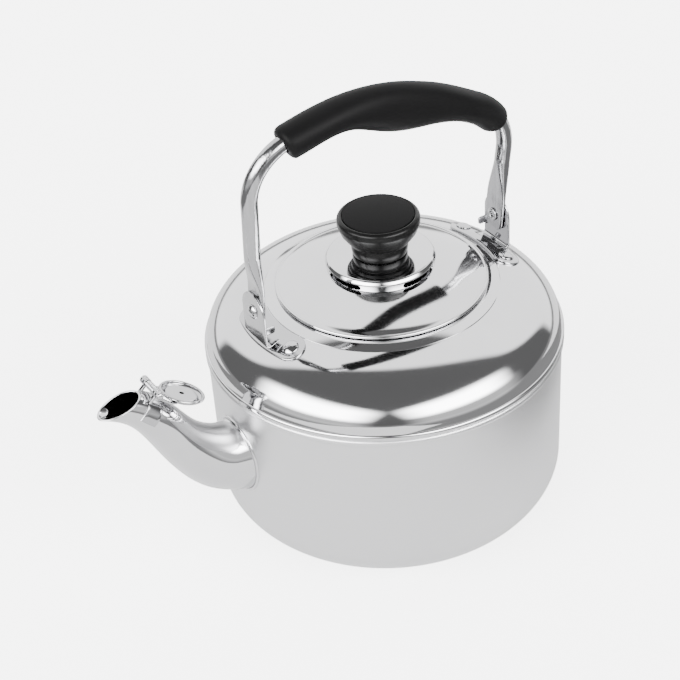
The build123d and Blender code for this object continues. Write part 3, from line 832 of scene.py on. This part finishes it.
turns = circle(96)
outside = [trimmed(turned, 0.0, 110) for turned in turns]
inside = [trimmed(turned, -SPOUT_WALL, 60) for turned in turns]
lip = []
for outer, inner in zip(outside, inside):
    middle = (outer[-1] + inner[-1]) / 2
    lip.append([middle + (outer[-1] - middle) * math.cos(t) + MOUTH_OUT * SPOUT_WALL / 2 * math.sin(t)
                for t in (0.5, 1.0, 1.57, 2.1, 2.6)])
lines = [outer + edge + inner[::-1] for outer, edge, inner in zip(outside, lip, inside)]
spout = to_piece("spout_tube", skin(list(zip(*lines)), loop=True), polished, sharp=70.0)
stand_for(spout, "body", "polished_steel", "spout")

# %% [markdown]
# Where the spout passes through the wall its edge is curled back and pressed down, which leaves a
# thin round bead. The bead swells a little at the top and bottom, where the tube's seam runs.

# %% Root bead
root_line = []
for turned in turns:
    points = spout_line(turned, 0.0)
    root = np.hypot(points[:, 0], points[:, 2]) - WALL_RADIUS
    root_line += spout_places(points, [crossing(root)])
bead_rows = []
for number, place in enumerate(root_line):
    outward = Vector((place.x, place.y, 0)).normalized()
    tangent = (root_line[(number + 1) % len(root_line)] - root_line[number - 1]).normalized()
    away = tangent.cross(outward).normalized()
    if away.dot(place - at(110 * MM, 77 * MM)) < 0:
        away = -away
    swell = 1 + 0.45 * math.exp(-(math.sin(turns[number]) / 0.09) ** 2)
    centre = place + away * 0.85 * MM + outward * 0.1 * MM
    bead_rows.append([centre + away * math.cos(t) * 0.95 * MM + outward * math.sin(t) * 1.0 * MM * swell
                      for t in circle(16)])
root_bead = to_piece("spout_root_bead", skin(bead_rows, loop=True), polished, sharp=70.0)
stand_for(root_bead, "body", "polished_steel", "spout_ring")

# %% [markdown]
# ## Ear brackets
# A bracket is one strip of steel. Its foot follows the shoulder round the neck, and its ear is bent
# up to carry the bail. Strips like these are everywhere on sheet-metal work, so a helper makes the
# outline of a flat bar with eased edges, and each strip lays that outline along its own course.


# %% Flat bars and joined pieces
def bar(half, thickness, edge=0.35 * MM, flats=8):
    """Outline of a flat bar as (across, up) points. up runs from 0 to the thickness."""
    edge = min(edge, half * 0.9, thickness * 0.49)
    spread = half - edge
    points = []
    corners = ((1, thickness - edge, 0), (-1, thickness - edge, 90), (-1, edge, 180), (1, edge, 270))
    for side, up_side, first in corners:
        points += arc((side * spread, up_side), (edge, edge), first, first + 90, 3)
        if first in (0, 180):
            level_up = thickness if first == 0 else 0.0
            points += [(side * spread * (1 - 2 * step / flats), level_up) for step in range(1, flats)]
    return points


def join(name, pieces):
    """Several pieces as one."""
    made = bmesh.new()
    for piece in pieces:
        made.from_mesh(piece.data)
    joined = to_piece(name, made, pieces[0].data.materials[0])
    for piece in pieces:
        bpy.data.objects.remove(piece)
    return joined


def moved(piece, matrix):
    piece.data.transform(matrix)
    return piece


# %% Brackets
FOOT_RADIUS = 80.2 * MM
FOOT_HALF = 8.3 * MM
FOOT_TURN = math.radians(15.7)
EAR_RADIUS = 12.2 * MM
EAR_THICKNESS = 1.2 * MM
EAR_MIDDLE = 87.4 * MM
FOOT_LIFT = 0.65 * MM
TAB_ACROSS = 9.9 * MM
TAB_HEIGHT = PIVOT_HEIGHT - 9.0 * MM


def foot_strap():
    """The bracket's curved foot, as a bar bent round the neck and laid on the dome."""
    ends = [math.radians(90 * step / 12) for step in range(13)]
    round_end = [(FOOT_TURN + FOOT_HALF * math.sin(t) / FOOT_RADIUS, FOOT_HALF * math.cos(t))
                 for t in ends]
    course_points = [(-turned, half) for turned, half in round_end[::-1]]
    course_points += [(FOOT_TURN * share / 8, FOOT_HALF) for share in range(-7, 8)]
    course_points += round_end
    rows = []
    for turned, half in course_points:
        row = []
        for across, lift in bar(max(half, 0.3 * MM), EAR_THICKNESS + 0.1 * MM):
            radius = FOOT_RADIUS + across
            height = dome_height(radius, lift - 0.05 * MM)
            row.append(Vector((radius * math.cos(turned), radius * math.sin(turned), height)))
        rows.append(row)
    return to_piece("foot", skin(rows, caps=True), pressed)


def ear_plate():
    """The ear, bent up from the foot in a small curve and rounded over the pivot."""
    low = (79.0 * MM, dome_height(79.0 * MM) + FOOT_LIFT)
    corner = (EAR_MIDDLE, dome_height(EAR_MIDDLE) + FOOT_LIFT, 2.4 * MM)
    line = rounded([low, corner, (EAR_MIDDLE, PIVOT_HEIGHT)], steps=10)
    rises = [math.radians(90 * step / 24) for step in range(1, 25)]
    places = [(Vector(point), EAR_RADIUS) for point in line]
    for t in rises:
        top = Vector((EAR_MIDDLE, PIVOT_HEIGHT + EAR_RADIUS * math.sin(t)))
        places.append((top, EAR_RADIUS * math.cos(t)))
    rows = []
    for (place, half), heading in zip(places, headings([place for place, half in places])):
        face = Vector((heading.y, -heading.x))
        row = []
        for across, up_side in bar(max(half, 0.3 * MM), EAR_THICKNESS):
            spot = place + face * (up_side - EAR_THICKNESS / 2)
            row.append(Vector((spot.x, across, spot.y)))
        rows.append(row)
    return to_piece("ear", skin(rows, caps=True), pressed)


def stop_tab():
    """A small tab bent inwards from the ear, which stops the bail."""
    rows = []
    for reach, half in ((80.9, 1.3), (81.0, 1.8), (81.4, 2.25), (82.0, 2.5), (84.0, 2.5), (87.6, 2.5)):
        outline = bar(half * MM, EAR_THICKNESS)
        rows.append([Vector((reach * MM, TAB_ACROSS + side, TAB_HEIGHT + rise)) for rise, side in outline])
    return to_piece("tab", skin(rows, caps=True), pressed)


for place, spin_turn in (("front", math.pi), ("rear", 0.0)):
    bracket = join("bracket_" + place + "_strip", [foot_strap(), ear_plate(), stop_tab()])
    moved(bracket, Matrix.Rotation(spin_turn, 4, "Z"))
    stand_for(bracket, "body", "polished_steel", "bracket_" + place)

# %% [markdown]
# Rivets are turned shapes set square to the sheet. The pivot rivets have a domed head outside and a
# hollow end rolled over inside the bail's blade, like an eyelet.

# %% Rivets
share = (FOOT_RADIUS - DOME_CENTRE[0]) / DOME_REACH
FOOT_SLOPE = math.atan(DOME_RISE / DOME_REACH * share / math.sqrt(1 - share * share))
head = ball_line((0.0, 2.25 * MM), (3.0 * MM, 1.55 * MM), (4.55 * MM, 0.6 * MM))
head += rounded([(4.7 * MM, 0.45 * MM), (4.8 * MM, 0.0, 0.2 * MM), (4.3 * MM, -0.05 * MM)])
TAIL = ((2.4, -0.05), (2.4, -2.0), (3.6, -2.1), (3.4, -3.0), (0.0, -3.4))
tail = [(radius * MM, height * MM) for radius, height in TAIL]
seat = Matrix.Translation((FOOT_RADIUS, 0, dome_height(FOOT_RADIUS))) @ Matrix.Rotation(FOOT_SLOPE, 4, "Y")
seat = seat @ Matrix.Translation((0, 0, EAR_THICKNESS + 0.05 * MM))
for place, spin_turn in (("front", math.pi), ("rear", 0.0)):
    rivets = []
    for turned in (-FOOT_TURN, FOOT_TURN):
        rivet = spin("rivet", head + tail, turned_steel, closed=False, steps=64)
        rivets.append(moved(rivet, Matrix.Rotation(spin_turn + turned, 4, "Z") @ seat))
    stand_for(join("strap_rivets_" + place, rivets), "body", "rivet_steel", "bracket_rivets_" + place)

pivot_head = ball_line((0.0, 90.4 * MM), (2.8 * MM, 89.75 * MM), (4.3 * MM, 88.6 * MM))
pivot_head += rounded([(4.5 * MM, 88.4 * MM), (4.6 * MM, 88.0 * MM, 0.2 * MM), (3.0 * MM, 88.0 * MM)])
eyelet = [(3.0 * MM, 84.0 * MM), (3.6 * MM, 84.0 * MM)]
eyelet += arc((3.05 * MM, 83.45 * MM), (1.1 * MM, 0.65 * MM), 30, -190, 14)
eyelet += [(1.9 * MM, 84.5 * MM), (1.9 * MM, 87.0 * MM), (0.0, 87.2 * MM)]
for place, tilt in (("front", -90), ("rear", 90)):
    rivet = spin("pivot_" + place, pivot_head + eyelet, turned_steel, closed=False, steps=72)
    moved(rivet, Matrix.Translation((0, 0, PIVOT_HEIGHT)) @ Matrix.Rotation(math.radians(tilt), 4, "Y"))
    stand_for(rivet, "body", "rivet_steel", "pivot_rivet_" + place)

# %% [markdown]
# ## Bail
# The bail is a round tube bent in three places, with both ends squeezed flat in a press. Squeezing
# leaves a flat face that widens downwards in a long V. Its middle line is drawn upright, as a reach
# and a height above the pivots; the whole bail is then leaned eight degrees, as it stands at rest.

# %% Bail tube
LEAN = math.radians(8)
TUBE_RADIUS = 4.75 * MM
BLADE_HALF = 8.4 * MM
BLADE_THICKNESS = 2.4 * MM
BLADE_REACH = 85.4 * MM
BLADE_TAIL = 9.5 * MM
BLADE_TOP = 14.0 * MM
TUBE_START = 42.0 * MM
BAIL_CORNERS = (
    (87.5 * MM, TUBE_START),
    (89.2 * MM, 104.7 * MM, 33 * MM),
    (9.9 * MM, 121.9 * MM, 148 * MM),
    (-87.5 * MM, 76.5 * MM, 42 * MM),
    (-87.0 * MM, TUBE_START),
)
lean = Matrix.Translation((0, 0, PIVOT_HEIGHT)) @ Matrix.Rotation(LEAN, 4, "X")


def evenly(line, count):
    """Points spaced evenly along a line of (reach, height) points."""
    points = np.array(line)
    lengths = np.concatenate([[0], np.cumsum(np.linalg.norm(np.diff(points, axis=0), axis=1))])
    wanted = np.linspace(0, lengths[-1], count)
    return np.stack([np.interp(wanted, lengths, points[:, column]) for column in range(2)], axis=1)


path = evenly(rounded(BAIL_CORNERS, steps=40), 601)
path_along = unit_slopes(path)
print("bail bent along", len(path), "places")


def squeezed(half, thin):
    """Section of a squeezed tube: flat on both faces and round at both edges, as (across, out) points."""
    flat = max(half - thin, 0.12 * MM)
    points = []
    for side, first in ((1, -90), (-1, 90)):
        points += arc((side * flat, 0), (thin, thin), first, first + 180, 14)
        points += [(side * flat * (1 - 2 * step / 10), side * thin) for step in range(1, 10)]
    return points


def leg(side):
    """Stations of one leg from its tail up: (place, half width, half thickness)."""
    top_reach = abs(BAIL_CORNERS[0 if side > 0 else -1][0])
    stations = []
    corner = 5.0 * MM
    for step in range(9):
        t = math.radians(4 + 86 * step / 8)
        half = BLADE_HALF - corner + corner * math.sin(t)
        thin = BLADE_THICKNESS / 2 * min(1.0, 0.55 + 0.2 * step)
        stations.append(((side * BLADE_REACH, -BLADE_TAIL + corner * (1 - math.cos(t))), half, thin))
    for height in (0.0, 4.0 * MM, 8.0 * MM, 11.0 * MM):
        stations.append(((side * BLADE_REACH, height), BLADE_HALF, BLADE_THICKNESS / 2))
    for step in range(29):
        part = step / 29
        ease = part * part * (3 - 2 * part)
        thin = BLADE_THICKNESS / 2 + (TUBE_RADIUS - BLADE_THICKNESS / 2) * (0.45 * part + 0.55 * ease)
        half = BLADE_HALF + (TUBE_RADIUS - BLADE_HALF) * (0.6 * part + 0.4 * ease)
        reach = BLADE_REACH + (top_reach - BLADE_REACH) * ease
        stations.append(((side * reach, BLADE_TOP + (TUBE_START - BLADE_TOP) * part), half, thin))
    return stations


tube_stations = [(tuple(point), TUBE_RADIUS, TUBE_RADIUS) for point in path[::3]]
stations = leg(1) + tube_stations + leg(-1)[::-1]
centres = np.array([station[0] for station in stations])
rows = []
for (reach, height), (dr, dh), (_, half, thin) in zip(centres, unit_slopes(centres), stations):
    rows.append([lean @ at(reach + dh * out, height - dr * out, across)
                 for across, out in squeezed(half, thin)])
bail = to_piece("bail_bar", skin(rows, caps=True), drawn, sharp=50.0)
stand_for(bail, "bail", "tube_steel", "bail_tube")

# %% [markdown]
# ## Grip
# The grip is moulded round the tube. Its underside swells into one long finger rest and its two ends
# flare a little. At each end a narrow recess runs round the tube, where the mould shut on it.

# %% Grip stations: share of the tube's length, then above, below and half the width in millimetres
GRIP_STATIONS = (
    (0.284, 8.4, 10.4, 10.6),
    (0.330, 8.6, 9.9, 10.9),
    (0.380, 9.2, 8.6, 11.0),
    (0.430, 10.2, 9.2, 11.0),
    (0.490, 11.0, 14.2, 11.2),
    (0.560, 10.9, 18.2, 11.3),
    (0.620, 10.2, 17.2, 11.3),
    (0.680, 9.9, 13.3, 11.1),
    (0.740, 9.0, 10.4, 10.9),
    (0.790, 7.8, 11.0, 10.8),
    (0.835, 7.1, 11.9, 10.7),
    (0.874, 6.9, 11.3, 10.4),
)
PATH_LENGTH = float(np.sum(np.linalg.norm(np.diff(path, axis=0), axis=1)))
END_ROUND = 3.6 * MM
RECESS = ((5.9, 0.0), (5.55, 0.35), (5.5, 4.0), (4.8, 4.2))
print("grip is", round((GRIP_STATIONS[-1][0] - GRIP_STATIONS[0][0]) * PATH_LENGTH, 4), "long")


# %% Grip
def path_frame(part):
    """Middle of the tube and its outward direction, at a share of its length."""
    place = part * (len(path) - 1)
    steps = np.arange(len(path))
    reach, height = [np.interp(place, steps, path[:, column]) for column in range(2)]
    dr, dh = [np.interp(place, steps, path_along[:, column]) for column in range(2)]
    return (reach, height), (dh, -dr)


def grip_row(part, above, below, half, count=72):
    """One section of the grip: an oval about the tube, taller below than above."""
    (reach, height), (out_reach, out_height) = path_frame(part)
    row = []
    for t in circle(count):
        out = (above - below) / 2 + (above + below) / 2 * math.cos(t)
        across = half * math.sin(t)
        row.append(lean @ at(reach + out_reach * out, height + out_height * out, across))
    return row


def grip_end(part, sizes, into):
    """Rows that close one end: the rounded edge, the flat end and the recess round the tube."""
    above, below, half = sizes
    rows = []
    for step in range(8):
        t = math.radians(90 * step / 8)
        inset = END_ROUND * (1 - math.sin(t))
        shift = into * END_ROUND * (1 - math.cos(t)) / PATH_LENGTH
        rows.append(grip_row(part + shift, above - inset, below - inset, half - inset))
    for radius, depth in RECESS:
        inner = part + into * depth * MM / PATH_LENGTH
        rows.insert(0, grip_row(inner, radius * MM, radius * MM, radius * MM))
    return rows


smooth = through(GRIP_STATIONS, 150, lead=1)
smooth[:, 1:] *= MM
first, last = smooth[0], smooth[-1]
rows = grip_end(first[0], first[1:], 1.0)
margin = END_ROUND / PATH_LENGTH
rows += [grip_row(*station) for station in smooth if first[0] + margin < station[0] < last[0] - margin]
rows += grip_end(last[0], last[1:], -1.0)[::-1]
grip = to_piece("grip_moulding", skin(rows), grip_black, sharp=60.0)
stand_for(grip, "bail", "grip_plastic", "grip")

# %% [markdown]
# ## Whistle
# The whistle is a flip cap on a cross pin. A thin saddle hugs the top of the spout and carries two
# fixed knuckles; the cap has two knuckles of its own outside them, and a coil spring wound round the
# pin between them snaps the cap shut. Here it is flipped open, as for pouring, with its inside up.
# The cap is turned in its own closed place, on the mouth, and then swung open about the pin.

# %% Whistle places
CAP_RADIUS = 13.5 * MM
CAP_DEPTH = 3.4 * MM
BARREL_RADIUS = 2.5 * MM
PIN_RADIUS = 1.1 * MM
KNUCKLE_LENGTH = 2.4 * MM
INNER_KNUCKLE = 5.0 * MM
OUTER_KNUCKLE = 7.7 * MM
hinge = at(*HINGE)
to_lip = at(math.cos(MOUTH_TILT), -math.sin(MOUTH_TILT))
cap_centre = at(*MOUTH) + MOUTH_OUT * 0.3 * MM - to_lip * 0.8 * MM
cap_axes = Matrix((to_lip, MOUTH_OUT.cross(to_lip), MOUTH_OUT)).transposed()
closed_place = Matrix.Translation(cap_centre) @ cap_axes.to_4x4()
opening = Matrix.Rotation(math.radians(OPEN_ANGLE), 4, "Y")
swing = Matrix.Translation(hinge) @ opening @ Matrix.Translation(-hinge)
cap_place = swing @ closed_place
hinge_in_cap = closed_place.inverted() @ hinge


def knuckle(start, side):
    """A short tube on the hinge line, with eased ends."""
    bore = PIN_RADIUS + 0.1 * MM
    outline = [(PIN_RADIUS + 0.05 * MM, 0.0)]
    outline += rounded([(bore, 0.0), (BARREL_RADIUS, 0.0, 0.25 * MM),
                        (BARREL_RADIUS, KNUCKLE_LENGTH, 0.25 * MM), (bore, KNUCKLE_LENGTH)])
    ring = spin("knuckle", outline, pressed, steps=48)
    place = Matrix.Translation(hinge + Vector((0, -side * start, 0)))
    return moved(ring, place @ Matrix.Rotation(math.radians(90 * side), 4, "X"))


def ribbon(line, half, thickness, across):
    """A narrow strip that follows a line of (x, z) points, at a distance across."""
    places = [Vector(point) for point in line]
    rows = []
    for place, heading in zip(places, headings(places)):
        face = Vector((-heading.y, heading.x))
        row = []
        for side, rise in bar(half, thickness, 0.2 * MM, 2):
            spot = place + face * (rise - thickness / 2)
            row.append(Vector((spot.x, across + side, spot.y)))
        rows.append(row)
    return to_piece("ribbon", skin(rows, caps=True), pressed)


# %% Whistle cap
CAP_ROLL = 0.9 * MM
CAP_RIM = CAP_RADIUS - CAP_ROLL
dish = rounded([
    (1.5 * MM, CAP_DEPTH - 0.3 * MM),
    (10.2 * MM, CAP_DEPTH - 0.3 * MM, 2.0 * MM),
    (11.9 * MM, 2.0 * MM, 1.5 * MM),
    (CAP_RIM - 0.2 * MM, CAP_ROLL),
], steps=8)
cap_shell = spin("cap_shell", thick(dish, 0.6 * MM), pressed, steps=128)
cap_roll = arc((CAP_RIM, CAP_ROLL), (CAP_ROLL, CAP_ROLL), 150, -170, 16)
cap_rim = spin("cap_rim", cap_roll, pressed, steps=128)
arm_line = rounded([
    (hinge_in_cap.x, hinge_in_cap.z + BARREL_RADIUS - 0.45 * MM),
    (-11.6 * MM, 2.5 * MM, 2 * MM),
    (-8.1 * MM, 2.5 * MM),
])
arm_across = OUTER_KNUCKLE + KNUCKLE_LENGTH / 2
arms = [ribbon(arm_line, KNUCKLE_LENGTH / 2, 0.9 * MM, side * arm_across) for side in (-1, 1)]
cap_parts = [moved(part, cap_place) for part in [cap_shell, cap_rim] + arms]
cap_parts += [knuckle(OUTER_KNUCKLE, side) for side in (-1, 1)]
stand_for(join("whistle_flip_cap", cap_parts), "whistle", "polished_steel", "whistle_cap")

# %% Whistle plate
plate_line = rounded([
    (1.5 * MM, 1.35 * MM),
    (9.2 * MM, 1.35 * MM, 1.0 * MM),
    (10.2 * MM, 2.35 * MM),
], steps=6)
plate = moved(spin("whistle_inner_plate", thick(plate_line, 0.5 * MM), pressed, steps=96), cap_place)
stand_for(plate, "whistle", "polished_steel", "whistle_plate")

# %% Pin and spring
pin_half = OUTER_KNUCKLE + KNUCKLE_LENGTH + 0.2 * MM
PIN_HEAD = ((0.0, 1.0), (1.2, 0.75), (1.8, 0.3))
half_pin = ball_line(*[(radius * MM, pin_half + rise * MM) for radius, rise in PIN_HEAD])
half_pin += [(1.9 * MM, pin_half), (PIN_RADIUS, pin_half)]
pin_line = half_pin + [(radius, -height) for radius, height in half_pin[::-1]]
pin = spin("whistle_hinge_pin", pin_line, turned_steel, closed=False, steps=48)
moved(pin, Matrix.Translation(hinge) @ Matrix.Rotation(math.radians(90), 4, "X"))
stand_for(pin, "body", "rivet_steel", "whistle_pin")

WIRE = 0.35 * MM
COIL_RADIUS = PIN_RADIUS + 0.5 * MM + WIRE
COIL_TURNS = 13
COIL_STEPS = COIL_TURNS * 24
coil_half = INNER_KNUCKLE - 0.5 * MM
rows = []
for step in range(COIL_STEPS + 1):
    t = 2 * math.pi * COIL_TURNS * step / COIL_STEPS
    radial = Vector((math.cos(t), 0, math.sin(t)))
    along_pin = Vector((0, -coil_half + 2 * coil_half * step / COIL_STEPS, 0))
    middle = hinge + radial * COIL_RADIUS + along_pin
    rows.append([middle + radial * WIRE * math.cos(u) + Vector((0, 1, 0)) * WIRE * math.sin(u)
                 for u in circle(10)])
spring = to_piece("whistle_coil", skin(rows, caps=True), turned_steel)
stand_for(spring, "body", "rivet_steel", "whistle_spring")

# %% Saddle
SADDLE_CENTRE = Vector((164.5 * MM, 135.6 * MM))
SADDLE_ALONG = Vector((9.0, 10.0)).normalized()
SADDLE_SHEET = 0.6 * MM
SADDLE_HALF = 5.0 * MM
SADDLE_WRAP = 102


def saddle_place(turned, lift, distance):
    """A point over the spout, at a distance along the saddle from its middle."""
    points = spout_line(turned, lift)
    offsets = (points[:, :2] - np.array(SADDLE_CENTRE)) @ np.array(SADDLE_ALONG)
    return spout_places(points, [crossing(offsets - distance)])[0]


rows = []
for step in range(41):
    turned = math.radians(-SADDLE_WRAP + 2 * SADDLE_WRAP * step / 40)
    rows.append([saddle_place(turned, up_side, side)
                 for side, up_side in bar(SADDLE_HALF, SADDLE_SHEET, 0.25 * MM, 6)])
saddle_parts = [to_piece("wrap", skin(rows, caps=True), pressed)]
lug_line = [(-162.0 * MM, 143.1 * MM), (-160.6 * MM, 144.4 * MM), (hinge.x - 1.0 * MM, hinge.z - 0.8 * MM)]
lug_across = INNER_KNUCKLE + KNUCKLE_LENGTH / 2
for side in (-1, 1):
    saddle_parts.append(ribbon(lug_line, KNUCKLE_LENGTH / 2, 1.5 * MM, side * lug_across))
    saddle_parts.append(knuckle(INNER_KNUCKLE, side))
stand_for(join("whistle_hinge_saddle", saddle_parts), "body", "polished_steel", "whistle_saddle")

# %% [markdown]
# ## Hidden fixings
# The brass insert, the screw and the washer hold the knob and only show when the lid is lifted or
# taken apart, so the engineer's own shapes serve for them. They still get their proper finishes.

# %% Hidden fixings
for node, finish in (("knob_insert", brass), ("knob_screw", turned_steel), ("knob_washer", turned_steel)):
    mesh = frame["nodes"][node].data
    mesh.materials.clear()
    mesh.materials.append(finish)
    print("finished", node, "in", finish.name)

# %% [markdown]
# ## Studio
# Polished steel shows the room more than itself, so the room is built with care. A white wall and
# ceiling stand behind the kettle and the room in front of it is dark, which gives the shoulder its
# dark band. Two soft boxes, one on each side of the camera, put the two bright patches in that band.
# Lower down, two wide and weak panels lift the sides of the wall. The camera itself sees only a pale
# backdrop, however low it looks.

# %% Studio directions
world = bpy.data.worlds.new("studio")
bpy.context.scene.world = world
world.use_nodes = True
sky = Tree(world.node_tree)
direction = sky.node("ShaderNodeTexCoord", output="Generated")
VIEW_AZIMUTH = math.atan2(level.y, level.x)


def towards(vector):
    """How far each direction of the sky points along a vector, from -1 to 1."""
    settings = {"operation": "DOT_PRODUCT"}
    return sky.node("ShaderNodeVectorMath", settings, {0: direction, 1: tuple(vector)}, output="Value")


def rises(value, low, high):
    """A soft step from 0 to 1."""
    inputs = {"Value": value, 1: low, 2: high}
    return sky.node("ShaderNodeMapRange", {"interpolation_type": "SMOOTHSTEP"}, inputs, output="Result")


def panel(azimuth, elevation, half_wide, half_high, soft):
    """A rectangular panel in the sky, in degrees from the camera's side, with soft edges."""
    turned, raised = VIEW_AZIMUTH + math.radians(azimuth), math.radians(elevation)
    ahead = Vector((math.cos(turned), math.sin(turned), 0))
    centre = ahead * math.cos(raised) + Vector((0, 0, math.sin(raised)))
    side = Vector((-math.sin(turned), math.cos(turned), 0))
    over = centre.cross(side)
    facing = towards(centre)
    wide, high = math.tan(math.radians(half_wide)), math.tan(math.radians(half_high))
    mask = rises(facing, 0.0, 0.05)
    for vector, size in ((side, wide), (over, high)):
        slope = towards(vector) / facing
        mask = mask * rises(slope, -size * (1 + soft), -size) * (1 - rises(slope, size, size * (1 + soft)))
    return mask


# %% Studio light: how bright each part of the room is, and where its edges are
BACKDROP = 4.6
WHITE_ROOM = 2.8
DARK_ROOM = 0.19
LOW_ROOM = 0.22
SOFT_BOX = 18.0
GLOW = 0.9
WHITE_EDGE = (-0.24, -0.15)
WING_HEIGHTS = (0.20, 0.78)
WING_REACH = 0.36
LEFT_BOX, RIGHT_BOX = (-47, 28, 14, 7, 2.4), (45, 31, 13, 6, 2.4)
LEFT_GLOW, RIGHT_GLOW = (-48, 8, 22, 10, 1.2), (48, 8, 22, 10, 1.2)

upwards = towards((0, 0, 1))
wings = (1 - rises(upwards, *WING_HEIGHTS)) * WING_REACH
white = (1 - rises(towards(level) + wings, *WHITE_EDGE)) * rises(upwards, -0.04, 0.02)
below = 1 - rises(upwards, -0.05, 0.0)
boxes = panel(*LEFT_BOX) + panel(*RIGHT_BOX)
glow = panel(*LEFT_GLOW) + panel(*RIGHT_GLOW)
room = DARK_ROOM + below * LOW_ROOM + white * (WHITE_ROOM - DARK_ROOM) + boxes * SOFT_BOX + glow * GLOW
seen = sky.node("ShaderNodeLightPath", output="Is Camera Ray")
background = world.node_tree.nodes["Background"]
sky.put(background.inputs["Color"], (1.0, 1.0, 1.0, 1.0))
sky.put(background.inputs["Strength"], seen * BACKDROP + (1 - seen) * room)
print("studio with", len(world.node_tree.nodes), "nodes")

# %% [markdown]
# The floor is a pale glowing table, like the lit tables of product photographers, and the steel
# doesn't mirror it. What the steel mirrors is grey: a runner that leads from the kettle towards the
# camera, and a wider sheet behind it. They give the thin bright pieces their dark edges.


# %% Ground finishes
def ground_finish(name, grey, glow):
    """Matt and slightly mottled, with a light of its own."""
    finish = Finish(name, (grey, grey, grey), Specular_IOR_Level=0.1,
                    Emission_Color=(1.0, 1.0, 1.0, 1.0), Emission_Strength=glow)
    mottle = finish.noise(finish.place(), 3.0, 2.0)
    finish.set(Roughness=0.75 + mottle * 0.2)
    finish.set(Base_Color=finish.blend(mottle, [grey - 0.01] * 3, [grey + 0.01] * 3))
    return finish.material


pale_floor = ground_finish("pale floor", 0.86, 3.4)
grey_runner = ground_finish("grey runner", 0.35, 0.8)
print("ground finishes:", pale_floor.name, grey_runner.name)

# %% Floor
FLOOR_SIZE = 4.0
FLOOR_HEIGHT = -0.3 * MM
RUNNER_HEIGHT = -0.2 * MM
MIRRORED = {"runner": (1.4, -0.25, -0.42, 0.20), "back_sheet": (-0.25, -1.5, -1.2, 1.2)}


def sheet(name, finish, near, far, left, right_side, height):
    """A flat sheet on the ground, given by its distances from the kettle as the camera sees it."""
    rows = [[level * depth + right * side + Vector((0, 0, height)) for side in (left, 0.0, right_side)]
            for depth in (near, (near + far) / 2, far)]
    made = to_piece(name, skin(rows, ring=False), finish)
    return made


floor = sheet("floor", pale_floor, FLOOR_SIZE, -FLOOR_SIZE, -FLOOR_SIZE, FLOOR_SIZE, FLOOR_HEIGHT)
floor.visible_glossy = False
for name, reaches in MIRRORED.items():
    mirrored = sheet(name, grey_runner, *reaches, RUNNER_HEIGHT)
    for rays in ("camera", "diffuse", "shadow"):
        setattr(mirrored, "visible_" + rays, False)
print("laid the floor and", len(MIRRORED), "sheets that only the steel mirrors")
